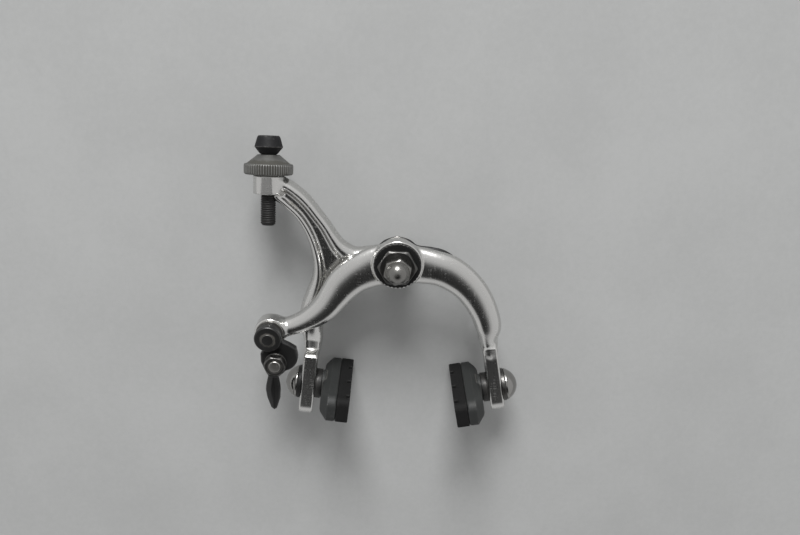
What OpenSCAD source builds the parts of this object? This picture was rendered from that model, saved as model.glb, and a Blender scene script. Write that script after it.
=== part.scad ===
// Side pull caliper brake with a cable release lever.
// X runs to the right as seen from the front, Y to the back and Z up.
// The origin is on the pivot bolt's axis, at the face that seats on the fork.

/* [Pivot] */
// Diameter of the pivot bolt
bolt_d = 6; // [5:0.5:6]
// Length of bolt that stands out behind the seat face
bolt_tail = 8; // [7:1:40]
// Radial clearance of the arms on the pivot bolt
pivot_fit = 0.06; // [0.02:0.01:0.1]
// Diameter of the serrated seat washer
seat_d = 10.4; // [10:0.2:15]
// Thickness of the serrated seat washer
seat_t = 1.2; // [1.1:0.1:2.5]
// Depth of the spring block
block_t = 4.4; // [4.2:0.1:7]
// Thickness of the washer behind the rear arm
thrust_t = 0.5; // [0.4:0.1:1.2]
// Thickness of the bearing washer between the arms
bearing_t = 0.8; // [0.6:0.1:1.2]
// Thickness of the black washer in front of the arms
dust_t = 1; // [0.8:0.1:1.6]
// Diameter of the black washer
dust_d = 18.5; // [17:0.5:19.5]
// Width across the flats of the thin adjusting nut
adjust_af = 14; // [12:1:15]
// Thickness of the thin adjusting nut
adjust_t = 2.4; // [2:0.2:5]
// Width across the flats of the dome nut
dome_af = 10; // [9:1:11]
// Height of the hexagon of the dome nut
dome_hex_t = 4.4; // [4:0.2:6]

/* [Arms] */
// Thickness of each arm at the pivot
arm_t = 6.2; // [5.6:0.1:7.5]
// Diameter of the pivot boss of the front arm
front_boss_d = 20; // [19.5:0.5:21]
// Diameter of the pivot boss of the rear arm
rear_boss_d = 14; // [13.5:0.5:18]
// How far the front boss stands proud of the arm
boss_proud = 0.9; // [0.5:0.1:1.4]
// Width multiplier of the forged arms
arm_fullness = 1; // [0.9:0.02:1.05]
// Lean of the legs, bottoms outwards, in degrees
leg_lean = 8.6; // [6:0.2:10]
// Distance of the right leg from the middle, 50 mm below the pivot
right_leg_x = 39.2; // [38.6:0.1:39.8]
// Distance of the left leg from the middle, 50 mm below the pivot
left_leg_x = 38.0; // [37.4:0.1:38.6]
// Thickness of a leg, from side to side
leg_t = 5.8; // [5:0.1:6.5]
// Depth of a leg, from front to back
leg_d = 11.6; // [11:0.2:13]
// Width of the shoe slot in a leg
slot_w = 6.3; // [6.2:0.1:6.8]
// How far the shoe can be set up and down in its slot
slot_travel = 9.6; // [7:0.2:9.8]
// Diameter of the peg that carries an end of the spring
peg_d = 3.4; // [3:0.1:4]

/* [Return spring] */
// Diameter of the spring wire
wire_d = 2; // [1.6:0.1:2.2]
// Height of the wire's arch over the pivot bolt
arch_h = 5.3; // [5.2:0.1:6]

/* [Cable adjuster] */
// Lean of the adjuster's axis to the back, in degrees
adjuster_back = 12; // [8:0.5:14]
// Lean of the adjuster's axis to the right, in degrees
adjuster_side = 3.2; // [0:0.2:5]
// Diameter of the boss that carries the adjuster
adjuster_boss_d = 11.8; // [11:0.2:13]
// Height of the boss that carries the adjuster
adjuster_boss_h = 7.3; // [6.5:0.1:8]
// Diameter of the threaded barrel
barrel_d = 5.9; // [5.5:0.1:6]
// Length of barrel below the boss
barrel_below = 12.2; // [10:0.2:14]
// Diameter of the knurled nut
knurl_d = 19.2; // [17:0.2:20]
// Height of the knurled band of the nut
knurl_h = 4.3; // [3.5:0.1:5]
// Height of the cone on top of the knurled nut
cone_h = 3.6; // [3:0.1:4.5]
// Number of ridges around the knurled nut
ridges = 58; // [48:2:60]
// Bore for the cable housing in the cap
housing_d = 5.1; // [4.9:0.1:5.2]

/* [Cable release] */
// Diameter of the black disc head of the release screw
disc_d = 11; // [10:0.2:12]
// Thickness of the release lever's body
lever_t = 3.4; // [3:0.1:4]
// Distance of the cable anchor from the lever's pivot
anchor_reach = 10.4; // [10:0.1:11]
// Width across the flats of the anchor nut
anchor_af = 8; // [7:0.5:8]
// Hole for the cable in the anchor bolt
cable_d = 2; // [1.6:0.1:2.2]
// Length of the lever's blade
blade_l = 15.6; // [13:0.2:18]
// Width of the lever's blade
blade_w = 6.4; // [5:0.2:8]

/* [Brake shoes] */
// Length of a brake shoe
shoe_l = 38; // [34:1:42]
// Height of a brake shoe
shoe_h = 11.6; // [10:0.2:13]
// Thickness of the metal holder behind the rubber
holder_t = 6.7; // [6:0.1:7.4]
// Thickness of the holder's channel, which the rubber sits in
channel_t = 3.6; // [3:0.1:4.2]
// How far the rubber stands out of its holder
rubber_out = 5.2; // [3.5:0.1:6]
// How far the shoe's middle lies in front of its stud
shoe_forward = 2.6; // [0:0.2:4]
// Grooves across the braking face
grooves = 4; // [2:1:5]
// Diameter of the shoe's threaded stud
stud_d = 6; // [5:0.5:6]
// Height of the right shoe's stud, measured along the leg from 50 mm below the pivot
right_stud_z = -8.7; // [-9:0.1:-3]
// Height of the left shoe's stud, measured along the leg from 50 mm below the pivot
left_stud_z = -5.4; // [-9:0.1:-3]
// Diameter of the shoe's dome nut
cap_d = 13.4; // [12:0.2:14]
// Height of the shoe's dome nut
cap_h = 5.1; // [4.5:0.1:6]

/* [Hidden] */
$fn = 64;
eps = 0.01;

// Faces along the bolt, from the fork forwards
y_block = -seat_t;
y_thrust = y_block - block_t;
y_rear = y_thrust - thrust_t;
y_bearing = y_rear - arm_t;
y_front = y_bearing - bearing_t;
y_dust = y_front - arm_t;
y_adjust = y_dust - dust_t;
y_dome = y_adjust - adjust_t;
bolt_front = 7;
boss_draft = 0.7;
bore_r = bolt_d / 2 + pivot_fit;

// Middle planes of the arms and of the legs
front_mid = y_front - arm_t / 2;
rear_mid = y_rear - arm_t / 2;
leg_y = (y_rear + y_dust) / 2;

// The cable end of the front arm and its release pivot
end_x = -52.4;
end_z = -28.6;
end_r = 6.2;
release_d = 5;
anchor_angle = 14.5;
anchor_d = 5;
screw_head_t = 2;
detent_t = 0.6;
y_lever = y_dust - detent_t;
y_disc = y_lever - lever_t;

// The boss of the cable adjuster
boss_x = -49.6;
boss_z = 30.9;
barrel_fit = 0.05;
cable_bore = 2.4;
cap_low = 2.9;
cap_high = 4.4;

// Positions along a shoe's stud, from the middle of the leg towards the rim
convex_t = 1.3;
concave_t = 1.3;
shoe_boss_t = 0.7;
outer_t = 1.5;
s_convex = leg_t / 2;
s_concave = s_convex + convex_t;
s_boss = s_concave + concave_t;
s_back = s_boss + shoe_boss_t;
s_lip = s_back + holder_t;
holder_wall = 1.3;
s_floor = s_lip - channel_t + holder_wall;
stud_fit = 0.05;
slot_top = -1.8;
leg_end = -19.6;
leg_top = 13;
peg_z = -27;
slider_t = 3;
arch_r = 9.75;

// Catmull-Rom curve through a list of stations
function between(a, b, c, d, t) =
    0.5 * (2 * b + (c - a) * t + (2 * a - 5 * b + 4 * c - d) * t * t + (3 * b - a - 3 * c + d) * t * t * t);
function smooth(s, k) = concat(
    [for (i = [0:len(s) - 2]) for (j = [0:k - 1])
        between(s[max(i - 1, 0)], s[i], s[i + 1], s[min(i + 2, len(s) - 1)], j / k)],
    [s[len(s) - 1]]);
function power(v, n) = sign(v) * pow(abs(v), 2 / n);

// One section of a forged arm: a station is [x, z, width, front y, back y]
function section(s, t, sides) = [for (i = [0:sides - 1])
    let (a = 360 * (i + 0.5) / sides,
         across = s[2] / 2 * arm_fullness * power(cos(a), sin(a) > 0 ? 2.3 : 3.2),
         mid = (s[3] + s[4]) / 2,
         y = mid + (s[3] - s[4]) / 2 * power(sin(a), sin(a) > 0 ? 2.3 : 4))
    [s[0] - t[1] * across, y, s[1] + t[0] * across]];
function heading(p, i) =
    let (a = p[max(i - 1, 0)], b = p[min(i + 1, len(p) - 1)],
         d = [b[0] - a[0], b[1] - a[1]])
    d / norm(d);

// A forged bar that follows its stations
module forged(stations, steps = 3, sides = 18) {
    path = smooth(stations, steps);
    n = len(path);
    points = [for (i = [0:n - 1]) each section(path[i], heading(path, i), sides)];
    skin = [for (i = [0:n - 2]) for (j = [0:sides - 1])
        let (k = (j + 1) % sides)
        each [
            [i * sides + j, (i + 1) * sides + k, i * sides + k],
            [i * sides + j, (i + 1) * sides + j, (i + 1) * sides + k]
        ]];
    first = [for (j = [0:sides - 1]) j];
    last = [for (j = [sides - 1:-1:0]) (n - 1) * sides + j];
    polyhedron(points, concat(skin, [first, last]), convexity = 6);
}

// A cylinder along Y from y_a, near the fork, to y_b in front of it
module along_y(r, y_a, y_b) {
    translate([0, y_a, 0]) rotate([90, 0, 0]) cylinder(r = r, h = y_a - y_b);
}

// A hexagon prism along Y with flats of the given width
module hex_y(af, y_a, y_b) {
    translate([0, y_a, 0]) rotate([90, 0, 0]) cylinder(r = af / sqrt(3), h = y_a - y_b, $fn = 6);
}

// A washer along Y
module washer_y(r, hole, y_a, y_b) {
    difference() {
        along_y(r, y_a, y_b);
        along_y(hole, y_a + 1, y_b - 1);
    }
}

// The frame of a leg: its middle, 50 mm below the pivot, leaning with the leg
module leg_frame(side) {
    mirror([side < 0 ? 1 : 0, 0, 0])
        translate([side < 0 ? left_leg_x : right_leg_x, leg_y, -50])
        rotate([0, -leg_lean, 0])
        children();
}

// The frame of a shoe's stud, with Z pointing away from the rim
module stud_frame(side) {
    leg_frame(side)
        translate([0, 0, side < 0 ? left_stud_z : right_stud_z])
        rotate([0, 90, 0])
        children();
}

// The frame of the cable adjuster, with its origin in the middle of the boss
module adjuster_frame() {
    translate([boss_x, rear_mid, boss_z]) rotate([-adjuster_back, adjuster_side, 0]) children();
}

// The slotted blade of a leg: a round end below, and above it a shoulder that runs into its own arm
module leg_blade(side) {
    half = leg_d / 2;
    difference() {
        translate([-leg_t / 2, 0, 0]) rotate([90, 0, 90]) linear_extrude(leg_t) mirror([side < 0 ? 0 : 1, 0]) union() {
            translate([0, leg_end + half]) circle(d = leg_d);
            polygon([[-half, leg_end + half], [half, leg_end + half], [half, leg_top], [1, leg_top + 1],
                [0.4, leg_top - 0.6], [-1.6, leg_top - 2.2], [-3.8, leg_top - 3.4], [-5.2, leg_top - 4.6],
                [-half, leg_top - 6]]);
        }
        for (z = [slot_top, slot_top - slot_travel])
            translate([-leg_t, 0, z]) rotate([0, 90, 0]) cylinder(d = slot_w, h = 2 * leg_t);
        translate([-leg_t, -slot_w / 2, slot_top - slot_travel]) cube([2 * leg_t, slot_w, slot_travel]);
    }
}

module pivot_bolt() {
    color("dimgray") difference() {
        union() {
            along_y(bolt_d / 2, bolt_tail - 1, y_dome - bolt_front);
            translate([0, bolt_tail, 0]) rotate([90, 0, 0])
                cylinder(r1 = bolt_d / 2 - 0.8, r2 = bolt_d / 2, h = 1);
        }
        difference() {
            along_y(bolt_d, 0, -0.8);
            along_y(bolt_d / 2 - 0.3, 1, -2);
        }
        translate([0, bolt_tail + eps, 0]) rotate([90, 0, 0]) cylinder(r = 0.9, h = 1.2);
    }
}

// The seat washer bites on the fork with a ring of small ribs
module seat_washer() {
    ribs = 24;
    color("silver") difference() {
        along_y(seat_d / 2, 0, y_block);
        along_y(bore_r, 1, y_block - 1);
        for (i = [0:ribs - 1])
            rotate([0, 360 * i / ribs, 0]) translate([bore_r + 0.8, -0.4, -0.25]) cube([4, 1, 0.5]);
    }
}

// The block holds the middle of the spring over the bolt, in a groove that follows the arch
module spring_block() {
    w = 13;
    low = 6;
    y = (y_block + y_thrust) / 2;
    groove_w = wire_d + 0.2;
    floor_r = arch_r - wire_d / 2 - 0.05;
    color("dimgray") difference() {
        union() {
            along_y(5.6, y_block, y_thrust);
            translate([-w / 2, y_thrust, -low]) cube([w, block_t, low + 2]);
        }
        along_y(bore_r, 1, y_thrust - 1);
        difference() {
            translate([-w, y - groove_w / 2, -2]) cube([2 * w, groove_w, 20]);
            translate([0, 0, arch_h - arch_r]) along_y(floor_r, 2, y_thrust - 2);
        }
    }
}

// The wire arches over the bolt and runs down to the inner sides of the two sliders
module return_spring() {
    y = (y_block + y_thrust) / 2;
    right_end = peg_place(1);
    left_end = peg_place(-1);
    reach = slider_t / 2 + peg_d / 2 + wire_d / 2 + 0.2;
    right = [[0, arch_h], [4.5, 4.2], [8, 1.6], [14, 0.6], [19.6, -1.1], [25, -5.6], [29, -11.5],
        [31, -18], [right_end[0] - reach, right_end[1] + 1], [right_end[0] - reach + 0.3, right_end[1] - 3.5]];
    left = [[0, arch_h], [-4.5, 4.2], [-8, 1.6], [-14, 0.2], [-19.6, -2], [-24.6, -6.4], [-28.2, -12],
        [-30, -18], [left_end[0] + reach, left_end[1] + 1], [left_end[0] + reach - 0.3, left_end[1] - 3.5]];
    row = concat([for (i = [len(left) - 1:-1:1]) left[i]], right);
    path = smooth([for (p = row) [p[0], p[1]]], 3);
    sides = 10;
    n = len(path);
    points = [for (i = [0:n - 1])
        let (t = heading(path, i))
        each [for (j = [0:sides - 1])
            let (a = 360 * j / sides)
            [path[i][0] - t[1] * cos(a) * wire_d / 2, y + sin(a) * -wire_d / 2, path[i][1] + t[0] * cos(a) * wire_d / 2]]];
    skin = [for (i = [0:n - 2]) for (j = [0:sides - 1])
        let (k = (j + 1) % sides)
        each [
            [i * sides + j, (i + 1) * sides + k, i * sides + k],
            [i * sides + j, (i + 1) * sides + j, (i + 1) * sides + k]
        ]];
    color("dimgray") polyhedron(points,
        concat(skin, [[for (j = [0:sides - 1]) j], [for (j = [sides - 1:-1:0]) (n - 1) * sides + j]]));
}

// Where the spring's peg stands on an arm, as [x, z]
function peg_place(side) = [side * ((side < 0 ? left_leg_x : right_leg_x) - 2.6), peg_z];

module peg(side, y_from) {
    translate([peg_place(side)[0], 0, peg_place(side)[1]]) along_y(peg_d / 2, y_thrust + 5.2, y_from);
}

module spring_slider(side) {
    y = (y_block + y_thrust) / 2;
    color("black") translate([peg_place(side)[0], 0, peg_place(side)[1]]) difference() {
        along_y(peg_d / 2 + slider_t / 2, y + 1.5, y - 1.7);
        along_y(peg_d / 2 + pivot_fit, y + 5, y - 5);
    }
}
module left_spring_slider() { spring_slider(-1); }
module right_spring_slider() { spring_slider(1); }

module thrust_washer() {
    color("silver") washer_y(7, bore_r, y_thrust, y_rear);
}

module bearing_washer() {
    color("goldenrod") washer_y(8, bore_r, y_bearing, y_front);
}

// The rear arm has two rims with a sunk web between them, and a beam down to its leg
module rear_arm() {
    f = y_bearing + 0.25;
    b = y_rear;
    t = (f + b) / 2;
    left_rim = [
        [-50, 28.6, 4.6, f, b], [-46.6, 26.2, 4, f, b], [-42.7, 22.7, 3.5, f, b], [-38.8, 18.5, 3.6, f, b],
        [-35.9, 13.6, 3.8, f, b], [-33.8, 8.2, 4, f, b], [-32.5, 2.7, 4.3, f, b], [-31.9, -3, 4.7, f, b],
        [-32.4, -9, 5.6, f, b], [-34.1, -16, 7.8, f, b], [-36, -23.5, 9.6, f, b],
        [-36.6, -30, 10.2, f - 0.4, b + 0.4], [-36.2, -35.5, 8, f - 2.5, b],
        [-36.4, -40, leg_t + 0.3, f - 4.5, b - 0.6]];
    right_rim = [
        [-48.4, 31.5, 4, f, b], [-43.6, 30.9, 4.4, f, b], [-38.7, 27.3, 4.6, f, b], [-34.9, 23.2, 4.6, f, b],
        [-31.7, 18.6, 4.5, f, b], [-28.4, 13.6, 4.6, f, b], [-25.8, 8.6, 5.2, f, b],
        [-22.8, 3.8, 6.6, f, b], [-17.5, -0.4, 9, f, b], [-9, -1.6, 12, f, b], [0, -1, 13, f, b]];
    beam = [
        [0, -1, 12, f, b], [-9, -4.2, 11.4, f, b], [-18, -8.4, 10.6, f, b], [-25.6, -13, 10, f, b],
        [-31.6, -18.6, 9.6, f, b], [-35.6, -26, 9.4, f, b]];
    web = [[-50, 30], [-44, 28.4], [-37, 20.5], [-31, 11.5], [-26, 4.5], [-20, 0], [-8, -4],
        [-20, -10], [-29, -17], [-35, -24], [-33, -12], [-32, -3], [-33, 6], [-36, 14], [-43, 22.6]];
    color("silver") difference() {
        union() {
            forged(left_rim);
            forged(right_rim);
            forged(beam, 2, 14);
            translate([0, t + 1.5, 0]) rotate([90, 0, 0]) linear_extrude(3) polygon(web);
            along_y(rear_boss_d / 2, y_rear, y_bearing);
            adjuster_frame() translate([0, 0, -adjuster_boss_h / 2])
                cylinder(d = adjuster_boss_d, h = adjuster_boss_h);
            leg_frame(-1) leg_blade(-1);
            peg(-1, y_rear - 2);
        }
        along_y(bore_r, 0, y_front);
        adjuster_frame() cylinder(d = barrel_d + 2 * barrel_fit, h = 30, center = true);
    }
}

// The front arm carries the cable release on one end and the right leg on the other
module front_arm() {
    f = y_dust + 0.2;
    b = y_front;
    g = y_dust + boss_proud;
    arm = [
        [end_x + 1, end_z + 0.2, 8, f, b], [-47.5, -28.1, 7.8, f, b], [-42.5, -26.8, 7.9, f, b],
        [-37.8, -24.9, 8.8, f, b], [-33, -22.2, 10.4, f, b], [-29, -18.7, 11.5, f, b],
        [-25.5, -14.2, 12.8, f, b], [-21.5, -9.3, 14.3, f, b], [-16, -5, 15.2, f, b],
        [-8.5, -2.1, 16.6, g, b], [0, -0.8, 17, g, b], [8, -1.8, 15.4, g, b], [15.6, -3.2, 14.1, f, b],
        [21.1, -5.5, 14, f, b], [26.9, -10, 13.1, f, b], [31.6, -16, 12.4, f, b],
        [35.2, -23.3, 11.5, f, b], [37, -30, 10.7, f, b + 0.4], [37.2, -35, 8.4, f + 0.6, b + 3],
        [37.9, -40, leg_t + 0.3, f + 1, b + 5]];
    color("silver") difference() {
        union() {
            forged(arm, 3, 20);
            translate([0, y_front, 0]) rotate([90, 0, 0])
                cylinder(r1 = front_boss_d / 2 - boss_draft, r2 = front_boss_d / 2, h = arm_t);
            translate([end_x, 0, end_z]) along_y(end_r, y_front, y_dust);
            leg_frame(1) leg_blade(1);
            peg(1, y_front - 2);
        }
        along_y(bore_r, 0, y_dust - 1);
        translate([end_x, 0, end_z]) along_y(release_d / 2, y_front + 1, y_dust - 1);
    }
}

// The black washer has fine teeth around its edge
module dust_washer() {
    teeth = 36;
    color("black") difference() {
        along_y(dust_d / 2, y_dust, y_adjust);
        along_y(bore_r, 0, y_adjust - 1);
        for (i = [0:teeth - 1])
            rotate([0, 360 * i / teeth, 0])
                translate([dust_d / 2, y_dust - dust_t / 2, 0])
                rotate([90, 0, 0]) cylinder(d = 0.5, h = 2 * dust_t, center = true, $fn = 6);
    }
}

module adjusting_nut() {
    color("dimgray") difference() {
        intersection() {
            hex_y(adjust_af, y_adjust, y_dome);
            translate([0, y_adjust + eps, 0]) rotate([90, 0, 0]) union() {
                cylinder(r = adjust_af, h = adjust_t - 0.7);
                translate([0, 0, adjust_t - 0.7])
                    cylinder(r1 = adjust_af / sqrt(3), r2 = adjust_af / 2 - 0.2, h = 0.7 + eps);
            }
        }
        along_y(bore_r, y_adjust + 1, y_dome - 1);
    }
}

module dome_nut() {
    dome_r = dome_af / 2 - 0.2;
    color("silver") difference() {
        union() {
            intersection() {
                hex_y(dome_af, y_dome, y_dome - dome_hex_t);
                translate([0, y_dome + eps, 0]) rotate([90, 0, 0]) union() {
                    cylinder(r = dome_af, h = dome_hex_t - 0.6);
                    translate([0, 0, dome_hex_t - 0.6])
                        cylinder(r1 = dome_af / sqrt(3), r2 = dome_r, h = 0.6 + eps);
                }
            }
            translate([0, y_dome - dome_hex_t + 0.4, 0]) rotate([90, 0, 0]) rotate_extrude() intersection() {
                circle(r = dome_r - 0.1);
                square(dome_af);
            }
        }
        along_y(bore_r, y_dome + 1, y_dome - bolt_front - 0.2);
    }
}

// The threaded barrel slides through its boss and carries the cap
module adjuster_barrel() {
    top = adjuster_boss_h / 2 + knurl_h + cone_h + cap_low;
    color("black") adjuster_frame() difference() {
        union() {
            translate([0, 0, -adjuster_boss_h / 2 - barrel_below + 0.8])
                cylinder(d = barrel_d, h = top + adjuster_boss_h / 2 + barrel_below - 0.8);
            translate([0, 0, -adjuster_boss_h / 2 - barrel_below])
                cylinder(d1 = barrel_d - 1.4, d2 = barrel_d, h = 0.8);
        }
        translate([0, 0, -30]) cylinder(d = cable_bore, h = 60);
    }
}

// The nut has a cone above a band of straight ridges
module adjuster_nut() {
    low = adjuster_boss_h / 2;
    r = knurl_d / 2;
    color("gray") adjuster_frame() translate([0, 0, low]) difference() {
        union() {
            rotate_extrude() polygon([
                [0, 0], [adjuster_boss_d / 2 - 0.2, 0], [r - 0.9, 0.5], [r - 0.1, 1], [r - 0.1, knurl_h - 0.7],
                [r - 0.9, knurl_h], [r - 1.2, knurl_h], [4.4, knurl_h + cone_h], [0, knurl_h + cone_h]]);
        }
        for (i = [0:ridges - 1])
            rotate([0, 0, 360 * i / ridges]) translate([r + 0.1, 0, 0.9])
                cylinder(d = 0.8, h = knurl_h - 1.5, $fn = 4);
        translate([0, 0, -1]) cylinder(d = barrel_d + 2 * barrel_fit, h = 20);
    }
}

module adjuster_cap() {
    low = adjuster_boss_h / 2 + knurl_h + cone_h;
    color("black") adjuster_frame() translate([0, 0, low]) difference() {
        rotate_extrude() polygon([
            [0, 0.1], [3.1, 0.1], [5.3, cap_low - 0.3], [5.5, cap_low], [5.2, cap_low + 0.5],
            [4.3, cap_low + cap_high - 0.4], [3.9, cap_low + cap_high], [0, cap_low + cap_high]]);
        translate([0, 0, -1]) cylinder(d = barrel_d, h = cap_low + 1);
        cylinder(d = cable_bore, h = 20);
        translate([0, 0, cap_low + 0.6]) cylinder(d = housing_d, h = 20);
    }
}

// The release screw carries the lever on the end of the front arm
module release_screw() {
    color("black") translate([end_x, 0, end_z]) difference() {
        union() {
            along_y(disc_d / 2 - 0.4, y_disc - screw_head_t + 0.4 + eps, y_disc - screw_head_t);
            along_y(disc_d / 2, y_disc, y_disc - screw_head_t + 0.4);
            along_y(release_d / 2, y_front, y_disc - eps);
            along_y(2.35, y_disc - screw_head_t + eps, y_disc - screw_head_t - 0.5);
        }
        hex_y(2.5, y_front + 1, y_front - 2.4);
    }
}

module detent_washer() {
    color("silver") translate([end_x, 0, end_z])
        washer_y(5.6, release_d / 2 + pivot_fit, y_dust, y_lever);
}

// The lever's body turns on the release screw and ends in a leaf shaped blade
module release_lever() {
    a = [anchor_reach * sin(anchor_angle), -anchor_reach * cos(anchor_angle)];
    color("black") translate([end_x, 0, end_z]) difference() {
        union() {
            translate([0, y_lever, 0]) rotate([90, 0, 0]) linear_extrude(lever_t) union() {
                circle(r = 4.9);
                translate([a[0] + 2.2, a[1] + 1]) circle(r = 6.4);
                translate(a) circle(r = 5.6);
                polygon([[-4.6, -1.6], [-2.6, -5.8], [-3.8, -7.4], [-3.9, -11], [-2.6, -15], [-1.2, -18.2],
                    [2.2, -18.6], [5, -16.4], [10.6, -9], [10.8, -5.4], [4.7, -1.5]]);
            }
            translate([-0.1, y_lever - 0.7, -17.6]) rotate([98, 0, 0]) linear_extrude(2) union() {
                translate([0.4, -6.6]) circle(d = blade_w);
                polygon([[-1.4, 0.6], [-blade_w / 2 + 0.55, -5.6], [-blade_w / 2 + 0.5, -7.6], [-0.8, -blade_l + 0.8],
                    [0.1, -blade_l], [1.2, -blade_l + 1], [blade_w / 2 + 0.3, -7.6], [blade_w / 2 + 0.25, -5.6],
                    [2, 0.6]]);
            }
        }
        along_y(release_d / 2 + pivot_fit, 0, y_disc - 1);
        translate([a[0], 0, a[1]]) along_y(anchor_d / 2, 0, y_disc - 1);
    }
}

module at_anchor() {
    translate([end_x + anchor_reach * sin(anchor_angle), 0, end_z - anchor_reach * cos(anchor_angle)])
        children();
}

// The anchor bolt has a cross hole for the cable in front of the lever
module anchor_bolt() {
    color("silver") at_anchor() difference() {
        union() {
            along_y(3.9, y_lever + 2, y_lever);
            along_y(anchor_d / 2, y_lever + eps, y_disc - 6.2);
        }
        translate([0, y_disc - cable_d / 2 - 0.1, -10]) cylinder(d = cable_d, h = 20);
    }
}

module anchor_washer() {
    color("silver") at_anchor()
        washer_y(4.4, anchor_d / 2 + stud_fit, y_disc - cable_d - 0.2, y_disc - cable_d - 1);
}

module anchor_nut() {
    y = y_disc - cable_d - 1;
    color("silver") at_anchor() difference() {
        intersection() {
            hex_y(anchor_af, y, y - 3);
            translate([0, y + eps, 0]) rotate([90, 0, 0]) union() {
                cylinder(r = anchor_af, h = 2.5);
                translate([0, 0, 2.5]) cylinder(r1 = anchor_af / sqrt(3), r2 = anchor_af / 2 - 0.2, h = 0.5 + 2 * eps);
            }
        }
        along_y(anchor_d / 2 + stud_fit, y + 1, y - 5);
    }
}

// A shoe's holder is a channel that steps down to a boss for the stud; Z points away from the rim
module shoe_holder(side) {
    step = (holder_t - channel_t) / 2;
    color("dimgray") stud_frame(side) difference() {
        union() {
            translate([0, -shoe_forward, -s_lip]) linear_extrude(channel_t) bar_outline(shoe_l, shoe_h, 4);
            translate([0, -shoe_forward, -s_back - 2 * step - eps]) linear_extrude(step + eps)
                bar_outline(shoe_l - 3, shoe_h - 1.6, 3.6);
            translate([0, -shoe_forward, -s_back - step - eps]) linear_extrude(step + eps)
                bar_outline(shoe_l - 9, shoe_h - 3.6, 3.4);
            translate([0, 0, -s_back - eps]) cylinder(d = 11.6, h = shoe_boss_t + eps);
        }
        translate([0, -shoe_forward, -s_lip - 1]) linear_extrude(s_lip - s_floor + 1)
            bar_outline(shoe_l - 2 * holder_wall, shoe_h - 2 * holder_wall, 3);
        translate([0, 0, -s_lip - 1]) cylinder(d = stud_d, h = 20);
    }
}

// An oblong with rounded corners, long along Y, with its height along X
module bar_outline(l, h, r) {
    union() {
        square([h - 2 * r, l], center = true);
        square([h, l - 2 * r], center = true);
        for (x = [-1, 1]) for (y = [-1, 1])
            translate([x * (h / 2 - r), y * (l / 2 - r)]) circle(r = r);
    }
}

module shoe_rubber(side) {
    pitch = (shoe_l - 8) / (grooves + 1);
    color("black") stud_frame(side) difference() {
        union() {
            translate([0, -shoe_forward, -s_lip]) linear_extrude(s_lip - s_floor)
                bar_outline(shoe_l - 2 * holder_wall, shoe_h - 2 * holder_wall, 3);
            translate([0, 0, -s_lip - rubber_out]) linear_extrude(rubber_out) translate([0, -shoe_forward])
                bar_outline(shoe_l - 0.8, shoe_h - 0.6, 2.6);
        }
        for (i = [1:grooves])
            translate([-shoe_h, -shoe_forward - (shoe_l - 8) / 2 + i * pitch - 0.8, -s_lip - rubber_out - 1])
                cube([2 * shoe_h, 1.6, 3]);
        translate([0, 0, -s_floor - 1]) cylinder(d = 9, h = 20);
    }
}

module shoe_stud(side) {
    color("silver") stud_frame(side) union() {
        translate([0, 0, -s_floor - 0.9]) cylinder(d = 8.6, h = 0.9 - 2 * eps);
        translate([0, 0, -s_floor - 0.4]) cylinder(d = stud_d, h = s_floor + 0.4 + leg_t / 2 + outer_t + cap_h - 1.6);
    }
}

// The two spherical washers let the shoe be set square to the rim
module convex_washer(side) {
    color("silver") stud_frame(side) difference() {
        translate([0, 0, -s_convex]) rotate_extrude() polygon([
            [stud_d / 2 + stud_fit, 0], [6.2, 0], [6.2, -0.4], [5.2, -0.8], [4, -1.1], [stud_d / 2 + stud_fit, -convex_t]]);
        translate([0, 0, -20]) cylinder(d = stud_d + 2 * stud_fit, h = 40);
    }
}

module concave_washer(side) {
    color("silver") stud_frame(side) translate([0, 0, -s_concave]) rotate_extrude() polygon([
        [stud_d / 2 + stud_fit, 0], [4, convex_t - 1.1], [5.2, convex_t - 0.8], [6.2, convex_t - 0.45],
        [6.2, -concave_t], [stud_d / 2 + stud_fit, -concave_t]]);
}

module outer_washer(side) {
    color("black") stud_frame(side) translate([0, 0, leg_t / 2]) difference() {
        cylinder(d = cap_d + 0.4, h = outer_t);
        translate([0, 0, -1]) cylinder(d = stud_d + 2 * stud_fit, h = 5);
    }
}

module cap_nut(side) {
    rise = cap_h - 1;
    r = cap_d / 2 - 0.3;
    ball = (r * r + rise * rise) / (2 * rise);
    color("silver") stud_frame(side) translate([0, 0, leg_t / 2 + outer_t]) difference() {
        union() {
            cylinder(d = cap_d, h = 1);
            intersection() {
                translate([0, 0, 1 + rise - ball]) sphere(r = ball);
                translate([0, 0, 1 - eps]) cylinder(r = r, h = 10);
            }
        }
        translate([0, 0, -1]) cylinder(d = stud_d + 2 * stud_fit, h = 1 + cap_h - 1.5);
    }
}

module left_shoe_holder() { shoe_holder(-1); }
module left_shoe_rubber() { shoe_rubber(-1); }
module left_shoe_stud() { shoe_stud(-1); }
module left_convex_washer() { convex_washer(-1); }
module left_concave_washer() { concave_washer(-1); }
module left_outer_washer() { outer_washer(-1); }
module left_cap_nut() { cap_nut(-1); }
module right_shoe_holder() { shoe_holder(1); }
module right_shoe_rubber() { shoe_rubber(1); }
module right_shoe_stud() { shoe_stud(1); }
module right_convex_washer() { convex_washer(1); }
module right_concave_washer() { concave_washer(1); }
module right_outer_washer() { outer_washer(1); }
module right_cap_nut() { cap_nut(1); }

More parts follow.
